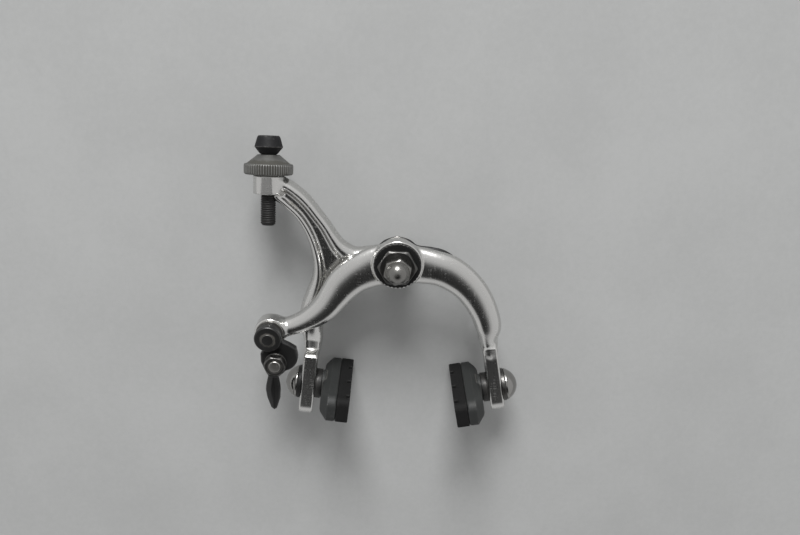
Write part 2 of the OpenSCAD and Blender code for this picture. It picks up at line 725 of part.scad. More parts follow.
pivot_bolt();
seat_washer();
spring_block();
return_spring();
thrust_washer();
rear_arm();
bearing_washer();
front_arm();
dust_washer();
adjusting_nut();
dome_nut();
left_spring_slider();
right_spring_slider();
adjuster_barrel();
adjuster_nut();
adjuster_cap();
release_screw();
release_lever();
detent_washer();
anchor_bolt();
anchor_washer();
anchor_nut();
left_shoe_holder();
left_shoe_rubber();
left_shoe_stud();
left_convex_washer();
left_concave_washer();
left_outer_washer();
left_cap_nut();
right_shoe_holder();
right_shoe_rubber();
right_shoe_stud();
right_convex_washer();
right_concave_washer();
right_outer_washer();
right_cap_nut();
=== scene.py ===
import math
import bpy
import numpy as np
from mathutils import Matrix, Vector


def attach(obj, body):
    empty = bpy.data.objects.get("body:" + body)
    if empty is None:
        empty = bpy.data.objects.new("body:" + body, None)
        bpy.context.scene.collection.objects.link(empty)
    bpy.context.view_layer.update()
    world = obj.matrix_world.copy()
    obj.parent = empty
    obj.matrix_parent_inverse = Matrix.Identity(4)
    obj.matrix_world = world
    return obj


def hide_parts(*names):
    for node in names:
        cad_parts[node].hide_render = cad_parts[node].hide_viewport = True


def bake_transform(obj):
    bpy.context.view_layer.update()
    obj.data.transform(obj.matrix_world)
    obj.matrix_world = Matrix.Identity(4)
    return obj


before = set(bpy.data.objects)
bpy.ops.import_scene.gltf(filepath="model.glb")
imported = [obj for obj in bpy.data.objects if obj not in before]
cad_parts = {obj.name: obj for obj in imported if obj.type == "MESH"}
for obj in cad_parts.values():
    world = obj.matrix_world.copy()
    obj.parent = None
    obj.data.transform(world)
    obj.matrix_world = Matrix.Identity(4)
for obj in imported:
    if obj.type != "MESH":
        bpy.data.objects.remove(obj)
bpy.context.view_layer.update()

bl_info = {
    "name": "Caliper Brake",
    "version": (1, 0, 0),
    "blender": (4, 5, 0),
    "location": "3D Viewport > Sidebar > Brake",
    "description": "Dresses a side pull caliper brake piece by piece",
    "category": "Object",
}

MM = 0.001

# Where things are, in millimetres, X right, Y back, Z up

Y_SPRING = -3.4
Y_THRUST = -5.6
Y_REAR = -6.1
Y_BEARING = -12.3
Y_FRONT = -13.1
Y_DUST = -19.3
Y_ADJUST = -20.3
Y_DOME = -22.7
Y_LEVER = -19.9
Y_DISC = -23.3
Y_ANCHOR = -25.5
Y_TABLE = 8.1
TABLE_SLOPE = 0.066
BACKDROP = (0.42, 0.425, 0.42)
LEG_Y = -12.7
LEG_LEAN = math.radians(8.6)
LEG_X = {-1: 38.0, 1: 39.2}
STUD_Z = {-1: -5.4, 1: -8.7}
PEG_X = {-1: -35.4, 1: 36.6}
PEG_Z = -27.0
END = (-52.4, -28.6)
ANCHOR = (-49.796, -38.669)
GROOVES = (9.2, -2.8, -14.4)
BOSS = np.array([-49.6, -9.2, 30.9])
BOSS_AXIS = np.array([0.0546017, 0.2079117, 0.9766224])
BOSS_FLAT = math.radians(11.0)

SIDE = {-1: "left", 1: "right"}
FORE = (0, -1, 0)
BOLT_BORE = 3.1
STUD_BORE = 3.06

# The photograph's view and light

CAMERA_AT = np.array([0.98, -298.58, 112.05])
ELEVATION = math.radians(22.0)
ROLL = math.radians(-1.0)
FOCAL_PIXELS = 768.0
IMAGE_WIDTH = 800.0
SENSOR = 36.0
TABLE_REACH = 900.0
LAMP_AT = (-40.0, -896.0, 1778.0)
LAMP_AIM = (0.0, -10.0, -20.0)
LAMP_SIZE = 820.0
LAMP_POWER = 43.0
DARK_BELOW = math.radians(40.0)
DARK_STOPS = ((0.0, 1.0), (0.75, 0.95), (0.86, 0.75), (0.91, 0.3), (0.95, 0.05), (1.0, 0.02))
ROOM_LEVEL = 0.64
ROOM_SLOPE = 0.05


def unit(v):
    v = np.asarray(v, float)
    return v / np.linalg.norm(v)


def leg_frame(side):
    """Middle of a leg, and its outward and upward directions."""
    out = np.array([side * math.cos(LEG_LEAN), 0.0, math.sin(LEG_LEAN)])
    up = np.array([-side * math.sin(LEG_LEAN), 0.0, math.cos(LEG_LEAN)])
    return np.array([side * LEG_X[side], LEG_Y, -50.0]), out, up


def stud_frame(side):
    """Where a shoe's stud crosses its leg, and the same two directions."""
    at, out, up = leg_frame(side)
    return at + up * STUD_Z[side], out, up


# Meshes

def add_piece(name, shape, finish, body, slot, *nodes):
    """Makes one finished piece from millimetre points, rides it on its body and gives it its finish."""
    verts, faces = shape
    mesh = bpy.data.meshes.new(name)
    mesh.from_pydata((np.asarray(verts, float) * MM).tolist(), [], [tuple(f) for f in faces])
    mesh.validate()
    mesh.polygons.foreach_set("use_smooth", [True] * len(mesh.polygons))
    mesh.materials.append(MATERIALS[finish])
    obj = bpy.data.objects.new(name, mesh)
    bpy.context.scene.collection.objects.link(obj)
    mark_edges(mesh)
    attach(obj, body)
    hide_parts(*nodes)


def mark_edges(mesh):
    """Stores how sharply the surface turns at each point: above zero on edges, below zero in corners."""
    count = len(mesh.vertices)
    pairs = np.empty(len(mesh.edges) * 2, int)
    mesh.edges.foreach_get("vertices", pairs)
    pairs = pairs.reshape(-1, 2)
    place = np.empty(count * 3)
    mesh.vertices.foreach_get("co", place)
    place = place.reshape(-1, 3) / MM
    normal = np.empty(count * 3)
    mesh.vertex_normals.foreach_get("vector", normal)
    normal = normal.reshape(-1, 3)
    gap = place[pairs[:, 0]] - place[pairs[:, 1]]
    turn = ((normal[pairs[:, 0]] - normal[pairs[:, 1]]) * gap).sum(1) / np.maximum((gap ** 2).sum(1), 1e-6)
    total = np.bincount(pairs.ravel(), np.repeat(turn, 2), count)
    near = np.maximum(np.bincount(pairs.ravel(), minlength=count), 1)
    layer = mesh.attributes.new("edge", "FLOAT", "POINT")
    layer.data.foreach_set("value", np.clip(total / near, -4, 4))


def soften(points, radius, steps=4, loop=False):
    """Rounds the corners of a profile."""
    points = [np.asarray(p, float) for p in points]
    n = len(points)
    out = []
    for i, p in enumerate(points):
        if not loop and i in (0, n - 1):
            out.append(p)
            continue
        a = points[i - 1] - p
        b = points[(i + 1) % n] - p
        la = np.linalg.norm(a)
        lb = np.linalg.norm(b)
        r = min(radius, la * 0.45, lb * 0.45)
        start = p + a / la * r
        end = p + b / lb * r
        for k in range(steps + 1):
            t = k / steps
            out.append(start * (1 - t) ** 2 + p * 2 * t * (1 - t) + end * t ** 2)
    return out


def basis(axis):
    w = unit(axis)
    u = unit(np.cross(w, [0.0, 0.0, 1.0]) if abs(w[2]) < 0.9 else np.cross(w, [0.0, 1.0, 0.0]))
    return u, np.cross(w, u), w


def lathe(profile, origin, axis, sides=72, loop=False, shape=None):
    """Turns a profile of (radius, distance along the axis) points into a closed skin."""
    u, v, w = basis(axis)
    origin = np.asarray(origin, float)
    profile = [np.asarray(p, float) for p in profile]
    angle = np.arange(sides) * 2 * math.pi / sides
    verts = []
    rings = []
    for r, s in profile:
        if r < 1e-6:
            rings.append([len(verts)])
            verts.append(origin + w * s)
            continue
        radius = np.full(sides, r) if shape is None else shape(angle, r, s)
        rings.append(list(range(len(verts), len(verts) + sides)))
        ring = origin + w * s + np.outer(radius * np.cos(angle), u) + np.outer(radius * np.sin(angle), v)
        verts.extend(ring)
    faces = []
    pairs = list(zip(rings, rings[1:] + (rings[:1] if loop else [])))
    for a, b in pairs:
        for j in range(sides):
            k = (j + 1) % sides
            if len(a) == 1 and len(b) == 1:
                continue
            if len(a) == 1:
                faces.append((a[0], b[k], b[j]))
            elif len(b) == 1:
                faces.append((a[j], a[k], b[0]))
            else:
                faces.append((a[j], a[k], b[k], b[j]))
    return verts, outward(verts, faces)


def outward(verts, faces):
    """Turns the faces of a closed skin so that they point out."""
    p = np.asarray(verts, float)
    total = 0.0
    for f in faces:
        a = p[f[0]]
        for k in range(1, len(f) - 1):
            total += np.dot(a, np.cross(p[f[k]], p[f[k + 1]]))
    if total < 0:
        faces = [tuple(reversed(f)) for f in faces]
    return faces


def hexagon(flats, turned=0.0, sharp=60):
    """Clips a lathe to a hexagon with slightly rounded corners, its first flat turned clockwise from up."""
    first = math.pi / 2 - math.radians(turned)

    def shape(angle, r, s):
        total = sum(np.maximum(np.cos(angle - first - i * math.pi / 3), 0) ** sharp for i in range(6))
        edge = flats / 2 / total ** (1 / sharp)
        return (edge ** -24.0 + r ** -24.0) ** (-1 / 24.0) if r > flats * 0.42 else np.full(len(angle), r)
    return shape


def threaded(radius, start, end, origin, axis, pitch=1.0, depth=0.45, sides=40, bore=0.0, chamfer=0.8):
    """A rod with a real helical thread."""
    u, v, w = basis(axis)
    origin = np.asarray(origin, float)
    angle = np.arange(sides) * 2 * math.pi / sides
    rows = int((end - start) / pitch * 8)
    profile = np.linspace(start, end, rows + 1)
    verts = []
    rings = []

    def ring(r, s):
        rings.append(list(range(len(verts), len(verts) + sides)))
        verts.extend(origin + w * s + np.outer(r * np.cos(angle), u) + np.outer(r * np.sin(angle), v))

    inner = bore if bore else 0.05
    ring(np.full(sides, inner), start)
    for s in profile:
        phase = (s / pitch - angle / (2 * math.pi)) % 1.0
        cut = np.clip(np.abs(phase - 0.5) * 4 - 0.6, 0, 1) * depth
        end_cut = max(0.0, chamfer - (s - start), chamfer - (end - s))
        ring(np.minimum(radius - cut, radius - end_cut), s)
    ring(np.full(sides, inner), end)
    if bore:
        rings.append(rings[0])
    faces = []
    for a, b in zip(rings, rings[1:]):
        for j in range(sides):
            k = (j + 1) % sides
            faces.append((a[j], a[k], b[k], b[j]))
    if not bore:
        faces.append(tuple(reversed(rings[0])))
        faces.append(tuple(rings[-1]))
    return verts, outward(verts, faces)


# Forged shapes, as distance fields

def merge(a, b, k):
    """Union with a fillet of about k."""
    h = np.maximum(k - np.abs(a - b), 0) / k
    return np.minimum(a, b) - h * h * k / 4


def cut(a, b, k):
    return -merge(-a, b, k)


def curve_points(stations, steps):
    """Catmull-Rom curve through the stations, every column alike."""
    s = np.array(stations, float)
    out = []
    for i in range(len(s) - 1):
        a, b, c, d = s[max(i - 1, 0)], s[i], s[i + 1], s[min(i + 2, len(s) - 1)]
        for j in range(steps):
            t = j / steps
            out.append(0.5 * (2 * b + (c - a) * t + (2 * a - 5 * b + 4 * c - d) * t * t
                              + (3 * b - a - 3 * c + d) * t ** 3))
    out.append(s[-1])
    return np.array(out)


def bar(stations, front=2.1, back=(3.2, 4.0), crown=0.78, crest=0.0, steps=5):
    """A forged bar: each station is x, z, width, front y, back y.

    Its crowned front takes most of its depth, and the crest lies off the middle, to the right of the path.
    """
    path = curve_points(stations, steps)
    a = path[:-1]
    d = path[1:] - a
    long2 = (d[:, :2] ** 2).sum(1)

    def field(x, y, z):
        px = x[..., None] - a[:, 0]
        pz = z[..., None] - a[:, 1]
        t = np.clip((px * d[:, 0] + pz * d[:, 1]) / long2, 0, 1)
        far = (px - t * d[:, 0]) ** 2 + (pz - t * d[:, 1]) ** 2
        k = far.argmin(-1)
        t = np.take_along_axis(t, k[..., None], -1)[..., 0]
        across = np.sqrt(np.take_along_axis(far, k[..., None], -1)[..., 0])
        half = (a[k, 2] + t * d[k, 2]) / 2
        f = a[k, 3] + t * d[k, 3]
        b = a[k, 4] + t * d[k, 4]
        middle = f + (b - f) * crown
        is_front = y < middle
        deep = np.where(is_front, middle - f, b - middle)
        v = (y - middle) / deep
        turn = d[k, 0] * np.take_along_axis(pz, k[..., None], -1)[..., 0]
        turn = turn - d[k, 1] * np.take_along_axis(px, k[..., None], -1)[..., 0]
        signed = np.sign(turn) * across / half
        u = np.abs(signed)
        if crest:
            right = (signed + crest) / (1 + crest)
            left = (-signed - crest) / (1 - crest)
            u = np.where(is_front, np.where(signed > -crest, right, left), u)
        n = np.where(is_front, front, back[0])
        m = np.where(is_front, front, back[1])
        v = np.abs(v)
        u = np.maximum(u, 1e-4)
        v = np.maximum(v, 1e-4)
        p = u ** n + v ** m
        g = p ** (1 / n)
        slope = g / p
        gu = slope * u ** (n - 1) / half
        gv = slope * m / n * v ** (m - 1) / deep
        return (g - 1) / np.maximum(np.sqrt(gu * gu + gv * gv), 0.5 / np.maximum(half, deep))
    return field


def rounded(d1, d2, r):
    """Where two slabs meet, with the edge rounded by r."""
    a = d1 + r
    b = d2 + r
    return np.minimum(np.maximum(a, b), 0) + np.sqrt(np.maximum(a, 0) ** 2 + np.maximum(b, 0) ** 2) - r


def post(cx, cz, radius, y0, y1, r=0.5, draft=0.0):
    """A round post along Y with rounded rims, which narrows to the back by its draft."""
    lo, hi = min(y0, y1), max(y0, y1)

    def field(x, y, z):
        side = np.sqrt((x - cx) ** 2 + (z - cz) ** 2) - radius + (y - lo) * draft
        return rounded(side, np.abs(y - (lo + hi) / 2) - (hi - lo) / 2, r)
    return field


def spindle(origin, axis, radius, low, high, r=0.5):
    """The same on any axis."""
    o = np.asarray(origin, float)
    w = unit(axis)

    def field(x, y, z):
        dx, dy, dz = x - o[0], y - o[1], z - o[2]
        s = dx * w[0] + dy * w[1] + dz * w[2]
        rad = np.sqrt(np.maximum(dx * dx + dy * dy + dz * dz - s * s, 0))
        return rounded(rad - radius, np.abs(s - (low + high) / 2) - (high - low) / 2, r)
    return field


def polygon_distance(px, pz, points):
    """Signed distance to a flat polygon, below zero inside."""
    p = np.array(points, float)
    q = np.roll(p, -1, 0)
    d = q - p
    ax = px[..., None] - p[:, 0]
    az = pz[..., None] - p[:, 1]
    t = np.clip((ax * d[:, 0] + az * d[:, 1]) / (d ** 2).sum(1), 0, 1)
    far = np.sqrt(((ax - t * d[:, 0]) ** 2 + (az - t * d[:, 1]) ** 2).min(-1))
    span = (p[:, 1] > pz[..., None]) != (q[:, 1] > pz[..., None])
    rise = np.where(d[:, 1] == 0, 1e-9, d[:, 1])
    cross = px[..., None] < p[:, 0] + d[:, 0] * (pz[..., None] - p[:, 1]) / rise
    inside = (span & cross).sum(-1) % 2 == 1
    return np.where(inside, -far, far)


def plate(points, y0, y1, r=0.4):
    def field(x, y, z):
        flat = polygon_distance(x, z, points)
        return rounded(flat, np.abs(y - (y0 + y1) / 2) - abs(y1 - y0) / 2, r)
    return field


def leg(side, thick=5.8, deep=11.6, slot=6.3, r=0.7):
    at, out, up = leg_frame(side)
    half = deep / 2
    end = -19.6 + half
    top = 15.4 if side < 0 else 11.8
    outline = [(-half, end), (half, end), (half, top), (1.5, top + 1), (-0.5, top - 0.6), (-1.4, 11.4),
               (-4.6, 10.4), (-half, 9.6)]

    def field(x, y, z):
        dx, dz = x - at[0], z - at[2]
        a = np.abs(dx * out[0] + dz * out[2]) - thick / 2
        h = dx * up[0] + dz * up[2]
        v = (y - at[1]) * -side
        v, h = np.broadcast_arrays(v, h)
        flat = np.minimum(polygon_distance(v, h, outline), np.sqrt(v * v + (h - end) ** 2) - half)
        body = rounded(flat, a, r)
        near = np.clip(h, -11.4, -1.8)
        hole = np.sqrt(v * v + (h - near) ** 2) - slot / 2
        return cut(body, hole, 0.5)
    return field


def skin(field, low, high, pitch):
    """Surface nets: a quad skin of a distance field, with each point then moved onto the surface."""
    axes = [np.arange(low[i], high[i] + pitch, pitch) for i in range(3)]
    x = axes[0][:, None, None]
    y = axes[1][None, :, None]
    z = axes[2][None, None, :]
    f = np.broadcast_to(field(x, y, z), [len(a) for a in axes])
    inside = f < 0
    n = np.array(f.shape) - 1
    corners = [(i, j, k) for i in (0, 1) for j in (0, 1) for k in (0, 1)]

    def corner(data, c):
        return data[c[0]:c[0] + n[0], c[1]:c[1] + n[1], c[2]:c[2] + n[2]]

    count = sum(corner(inside, c).astype(np.int8) for c in corners)
    cell = (count > 0) & (count < 8)
    where = np.argwhere(cell)
    index = np.full(cell.shape, -1)
    index[cell] = np.arange(len(where))
    total = np.zeros((len(where), 3))
    weight = np.zeros(len(where))
    for c in corners:
        for axis in range(3):
            if c[axis]:
                continue
            e = list(c)
            e[axis] = 1
            fa = corner(f, c)[cell]
            fb = corner(f, e)[cell]
            hit = (fa < 0) != (fb < 0)
            t = np.where(hit, fa / np.where(fa == fb, 1, fa - fb), 0)
            place = np.tile(np.array(c, float), (len(where), 1))
            place[:, axis] += t
            total[hit] += place[hit]
            weight[hit] += 1
    verts = (where + total / weight[:, None]) * pitch + np.array([a[0] for a in axes])
    faces = []
    for axis in range(3):
        b, c = (axis + 1) % 3, (axis + 2) % 3
        first = [slice(None)] * 3
        second = [slice(None)] * 3
        first[axis] = slice(0, -1)
        second[axis] = slice(1, None)
        change = inside[tuple(first)] != inside[tuple(second)]
        at = np.argwhere(change)
        at = at[(at[:, b] > 0) & (at[:, c] > 0) & (at[:, b] < n[b]) & (at[:, c] < n[c])]
        leaving = inside[tuple(first)][tuple(at.T)]
        quad = []
        for db, dc in ((-1, -1), (0, -1), (0, 0), (-1, 0)):
            q = at.copy()
            q[:, b] += db
            q[:, c] += dc
            quad.append(index[tuple(q.T)])
        quad = np.stack(quad, 1)
        quad[~leaving] = quad[~leaving][:, ::-1]
        faces.append(quad)
    faces = np.concatenate(faces)
    h = 0.02
    for _ in range(4):
        px, py, pz = verts.T
        value = field(px, py, pz)
        grad = np.stack([field(px + h, py, pz) - field(px - h, py, pz),
                         field(px, py + h, pz) - field(px, py - h, pz),
                         field(px, py, pz + h) - field(px, py, pz - h)], 1) / (2 * h)
        step = grad * (value / np.maximum((grad ** 2).sum(1), 0.05))[:, None]
        size = np.linalg.norm(step, axis=1)
        step *= np.minimum(1, pitch * 0.5 / np.maximum(size, 1e-9))[:, None]
        verts = verts - step
    return verts, faces.tolist()


# Materials

def new_group(name, inputs, outputs):
    tree = bpy.data.node_groups.new(name, "ShaderNodeTree")
    for label, kind, value in inputs:
        socket = tree.interface.new_socket(label, in_out="INPUT", socket_type=kind)
        if value is not None:
            socket.default_value = value
    for label, kind in outputs:
        tree.interface.new_socket(label, in_out="OUTPUT", socket_type=kind)
    return tree, tree.nodes.new("NodeGroupInput"), tree.nodes.new("NodeGroupOutput")


def wire(tree, source, target):
    tree.links.new(source, target)


def maths(tree, kind, a, b=None, clamp=False):
    node = tree.nodes.new("ShaderNodeMath")
    node.operation = kind
    node.use_clamp = clamp
    for i, value in enumerate((a, b)):
        if value is None:
            continue
        if isinstance(value, (int, float)):
            node.inputs[i].default_value = value
        else:
            wire(tree, value, node.inputs[i])
    return node.outputs[0]


def spread(tree, value, low, high, to_low=0.0, to_high=1.0):
    node = tree.nodes.new("ShaderNodeMapRange")
    node.interpolation_type = "SMOOTHSTEP"
    node.inputs["To Min"].default_value = to_low
    node.inputs["To Max"].default_value = to_high
    wire(tree, value, node.inputs["Value"])
    for name, v in (("From Min", low), ("From Max", high)):
        if isinstance(v, (int, float)):
            node.inputs[name].default_value = v
        else:
            wire(tree, v, node.inputs[name])
    return node.outputs["Result"]


def noise(tree, place, scale, detail=4.0, rough=0.6, stretch=None):
    if stretch is not None:
        mapping = tree.nodes.new("ShaderNodeMapping")
        mapping.inputs["Scale"].default_value = stretch
        wire(tree, place, mapping.inputs["Vector"])
        place = mapping.outputs[0]
    node = tree.nodes.new("ShaderNodeTexNoise")
    node.inputs["Detail"].default_value = detail
    node.inputs["Roughness"].default_value = rough
    if isinstance(scale, (int, float)):
        node.inputs["Scale"].default_value = scale
    else:
        wire(tree, scale, node.inputs["Scale"])
    wire(tree, place, node.inputs["Vector"])
    return node.outputs["Fac"]


def object_place(tree):
    return tree.nodes.new("ShaderNodeTexCoord").outputs["Object"]


def edge_wear_group():
    """Edge Wear: bare metal along the edges, broken up by patches."""
    tree, inp, out = new_group(
        "edge_wear",
        [("Start", "NodeSocketFloat", 0.3), ("Full", "NodeSocketFloat", 1.2),
         ("Patch Scale", "NodeSocketFloat", 900.0), ("Patchiness", "NodeSocketFloat", 0.5)],
        [("Mask", "NodeSocketFloat")])
    edge = tree.nodes.new("ShaderNodeAttribute")
    edge.attribute_name = "edge"
    place = object_place(tree)
    patch = noise(tree, place, inp.outputs["Patch Scale"], 5.0, 0.65)
    shift = maths(tree, "MULTIPLY", maths(tree, "SUBTRACT", patch, 0.5), inp.outputs["Patchiness"])
    value = maths(tree, "ADD", edge.outputs["Fac"], maths(tree, "MULTIPLY", shift, 4.0))
    wire(tree, spread(tree, value, inp.outputs["Start"], inp.outputs["Full"]), out.inputs["Mask"])
    return tree


def grime_group():
    """Grime: dirt that gathers in corners and in soft patches."""
    tree, inp, out = new_group(
        "grime",
        [("Scale", "NodeSocketFloat", 120.0), ("Cover", "NodeSocketFloat", 0.4),
         ("Corners", "NodeSocketFloat", 0.6)],
        [("Mask", "NodeSocketFloat"), ("Specks", "NodeSocketFloat")])
    place = object_place(tree)
    cloud = noise(tree, place, inp.outputs["Scale"], 8.0, 0.62)
    fine = noise(tree, place, maths(tree, "MULTIPLY", inp.outputs["Scale"], 9.0), 6.0, 0.7)
    edge = tree.nodes.new("ShaderNodeAttribute")
    edge.attribute_name = "edge"
    inward = maths(tree, "MAXIMUM", maths(tree, "MULTIPLY", edge.outputs["Fac"], -1.0), 0.0)
    corner = maths(tree, "MULTIPLY", inward, inp.outputs["Corners"])
    mixed = maths(tree, "ADD", maths(tree, "MULTIPLY", cloud, 0.7), maths(tree, "MULTIPLY", fine, 0.3))
    mixed = maths(tree, "ADD", mixed, corner)
    low = maths(tree, "SUBTRACT", 0.75, maths(tree, "MULTIPLY", inp.outputs["Cover"], 0.5))
    high = maths(tree, "ADD", low, 0.16)
    wire(tree, spread(tree, mixed, low, high), out.inputs["Mask"])
    wire(tree, spread(tree, fine, 0.6, 0.72), out.inputs["Specks"])
    return tree


def scratch_group():
    """Scratches: fine lines left by polishing and handling."""
    tree, inp, out = new_group(
        "scratches",
        [("Scale", "NodeSocketFloat", 300.0), ("Amount", "NodeSocketFloat", 0.5)],
        [("Height", "NodeSocketFloat"), ("Mask", "NodeSocketFloat")])
    place = object_place(tree)
    one = noise(tree, place, inp.outputs["Scale"], 3.0, 0.6, (0.3, 4.0, 6.0))
    two = noise(tree, place, inp.outputs["Scale"], 3.0, 0.6, (5.0, 3.0, 0.35))
    both = maths(tree, "ADD", one, two)
    wire(tree, maths(tree, "MULTIPLY", both, inp.outputs["Amount"]), out.inputs["Height"])
    wire(tree, spread(tree, both, 1.1, 1.3), out.inputs["Mask"])
    return tree


GROUP_MAKERS = {"edge_wear": edge_wear_group, "grime": grime_group, "scratches": scratch_group}
GROUPS = {}


def use_group(tree, name, **values):
    if name not in GROUPS:
        GROUPS[name] = GROUP_MAKERS[name]()
    node = tree.nodes.new("ShaderNodeGroup")
    node.node_tree = GROUPS[name]
    for label, value in values.items():
        node.inputs[label.replace("_", " ")].default_value = value
    return node


def mix_colour(tree, mask, a, b):
    node = tree.nodes.new("ShaderNodeMix")
    node.data_type = "RGBA"
    wire(tree, mask, node.inputs["Factor"])
    for socket, value in ((node.inputs[6], a), (node.inputs[7], b)):
        if isinstance(value, (tuple, list)):
            socket.default_value = tuple(value) + (1.0,) * (4 - len(value))
        else:
            wire(tree, value, socket)
    return node.outputs[2]


def mix_value(tree, mask, a, b):
    node = tree.nodes.new("ShaderNodeMix")
    node.data_type = "FLOAT"
    wire(tree, mask, node.inputs["Factor"])
    for socket, value in ((node.inputs[2], a), (node.inputs[3], b)):
        if isinstance(value, (int, float)):
            socket.default_value = value
        else:
            wire(tree, value, socket)
    return node.outputs[0]


def start_material(name):
    material = bpy.data.materials.new(name)
    material.use_nodes = True
    tree = material.node_tree
    shader = next(n for n in tree.nodes if n.type == "BSDF_PRINCIPLED")
    return material, tree, shader


def add_bump(tree, shader, height, strength, distance):
    node = tree.nodes.new("ShaderNodeBump")
    node.inputs["Strength"].default_value = strength
    node.inputs["Distance"].default_value = distance
    wire(tree, height, node.inputs["Height"])
    wire(tree, node.outputs[0], shader.inputs["Normal"])


MATERIALS = {}


def metal_material(key, name, colour, rough, dirt, scale, cover, corners, scratch, scratch_scale, bright=None,
                   worn=None, bump=0.25, dirt_rough=0.55):
    """A metal with grime in its corners, fine scratches and, where asked, edges worn bright."""
    material, tree, shader = start_material(name)
    grime = use_group(tree, "grime", Scale=scale, Cover=cover, Corners=corners)
    lines = use_group(tree, "scratches", Scale=scratch_scale, Amount=scratch)
    base = tuple(colour)
    if bright is not None:
        wear = use_group(tree, "edge_wear", Start=worn[0], Full=worn[1], Patchiness=worn[2])
        base = mix_colour(tree, wear.outputs["Mask"], base, bright)
    tint = mix_colour(tree, grime.outputs["Mask"], base, tuple(dirt))
    wire(tree, tint, shader.inputs["Base Color"])
    wire(tree, mix_value(tree, grime.outputs["Mask"], 1.0, 0.25), shader.inputs["Metallic"])
    haze = mix_value(tree, lines.outputs["Mask"], rough, rough * 1.6)
    wire(tree, mix_value(tree, grime.outputs["Mask"], haze, dirt_rough), shader.inputs["Roughness"])
    specks = maths(tree, "MULTIPLY", grime.outputs["Specks"], 0.6)
    add_bump(tree, shader, maths(tree, "ADD", lines.outputs["Height"], specks), bump, 0.0002)
    MATERIALS[key] = material


def black_material(key, name, colour, rough, bare, dust, cover, worn, scale=150.0, bare_metal=1.0, bump=0.3,
                   spec=0.5, grain=1800.0):
    """Black finish with dust, a fine grain and bare metal or pale plastic on its edges."""
    material, tree, shader = start_material(name)
    grime = use_group(tree, "grime", Scale=scale, Cover=cover, Corners=0.5)
    wear = use_group(tree, "edge_wear", Start=worn[0], Full=worn[1], Patchiness=worn[2])
    dusty = mix_colour(tree, maths(tree, "MULTIPLY", grime.outputs["Mask"], 0.6), tuple(colour), dust)
    wire(tree, mix_colour(tree, wear.outputs["Mask"], dusty, bare), shader.inputs["Base Color"])
    wire(tree, mix_value(tree, wear.outputs["Mask"], 0.0, bare_metal), shader.inputs["Metallic"])
    soft = mix_value(tree, grime.outputs["Mask"], rough, min(rough + 0.25, 0.95))
    wire(tree, mix_value(tree, wear.outputs["Mask"], soft, 0.35), shader.inputs["Roughness"])
    fine = noise(tree, object_place(tree), grain, 4.0, 0.6)
    add_bump(tree, shader, fine, bump, 0.0002)
    shader.inputs["Specular IOR Level"].default_value = spec
    MATERIALS[key] = material


def make_materials():
    finish = bpy.context.scene.caliper_finish
    for key, name, rough, scale in (("polished", "polished_aluminium", 0.2, 90.0),
                                    ("polished_rear", "polished_aluminium_rear", 0.22, 110.0)):
        metal_material(key, name, finish.aluminium, rough, dirt=finish.dirt, scale=scale, cover=0.26,
                       corners=0.3, scratch=0.35, scratch_scale=260.0, bump=0.12)
    metal_material("grey_alloy", "aged_alloy", finish.alloy, 0.5, dirt=(0.06, 0.058, 0.05), scale=260.0,
                   cover=0.5, corners=0.8, scratch=0.5, scratch_scale=400.0, bright=(0.32, 0.32, 0.31),
                   worn=(1.0, 3.0, 0.5))
    metal_material("chrome", "chromed_steel", finish.chrome, 0.15, dirt=(0.10, 0.095, 0.085), scale=300.0,
                   cover=0.22, corners=0.4, scratch=0.3, scratch_scale=500.0, bump=0.12)
    metal_material("dull_chrome", "dull_chromed_steel", (0.24, 0.235, 0.225), 0.24, dirt=(0.05, 0.047, 0.042),
                   scale=500.0, cover=0.4, corners=0.6, scratch=0.3, scratch_scale=500.0, bump=0.12)
    metal_material("plated", "plated_steel", finish.plated, 0.3, dirt=(0.08, 0.07, 0.055), scale=300.0,
                   cover=0.4, corners=0.8, scratch=0.4, scratch_scale=500.0)
    metal_material("dark_steel", "dark_steel", (0.09, 0.088, 0.085), 0.34, dirt=(0.03, 0.027, 0.022),
                   scale=300.0, cover=0.45, corners=0.8, scratch=0.4, scratch_scale=500.0,
                   bright=(0.15, 0.147, 0.143), worn=(0.8, 2.4, 0.6))
    metal_material("brass", "brass_washer", (0.62, 0.45, 0.2), 0.3, dirt=(0.08, 0.07, 0.05), scale=300.0,
                   cover=0.5, corners=0.8, scratch=0.4, scratch_scale=500.0)
    black_material("black_lever", "black_lever_enamel", finish.black, 0.3, bare=(0.16, 0.155, 0.15),
                   dust=(0.09, 0.085, 0.075), cover=0.22, worn=(0.9, 2.6, 0.55))
    black_material("black_washer", "black_washer_steel", (0.008, 0.008, 0.008), 0.45,
                   bare=(0.08, 0.077, 0.074), dust=(0.04, 0.038, 0.035), cover=0.3, worn=(1.4, 3.4, 0.5),
                   spec=0.3)
    black_material("black_cap", "black_cap_plastic", (0.009, 0.009, 0.01), 0.6, bare=(0.06, 0.058, 0.055),
                   dust=(0.05, 0.048, 0.044), cover=0.4, worn=(0.5, 1.6, 0.9), scale=520.0, bare_metal=0.0,
                   bump=0.5, spec=0.25)
    black_material("holder", "grey_holder_alloy", finish.holder, 0.6, bare=(0.12, 0.12, 0.118),
                   dust=(0.07, 0.068, 0.062), cover=0.35, worn=(0.5, 2.0, 0.6), scale=200.0, bare_metal=0.3,
                   bump=0.5)
    black_material("rubber", "black_rubber", finish.rubber, 0.75, bare=(0.02, 0.02, 0.019),
                   dust=(0.03, 0.029, 0.027), cover=0.35, worn=(0.4, 2.0, 0.6), scale=260.0, bare_metal=0.0,
                   bump=0.5, spec=0.2)
    black_material("block", "black_block_plastic", (0.02, 0.02, 0.021), 0.5, bare=(0.06, 0.058, 0.055),
                   dust=(0.09, 0.085, 0.075), cover=0.4, worn=(0.5, 1.6, 0.5), bare_metal=0.0)


# What a user may change

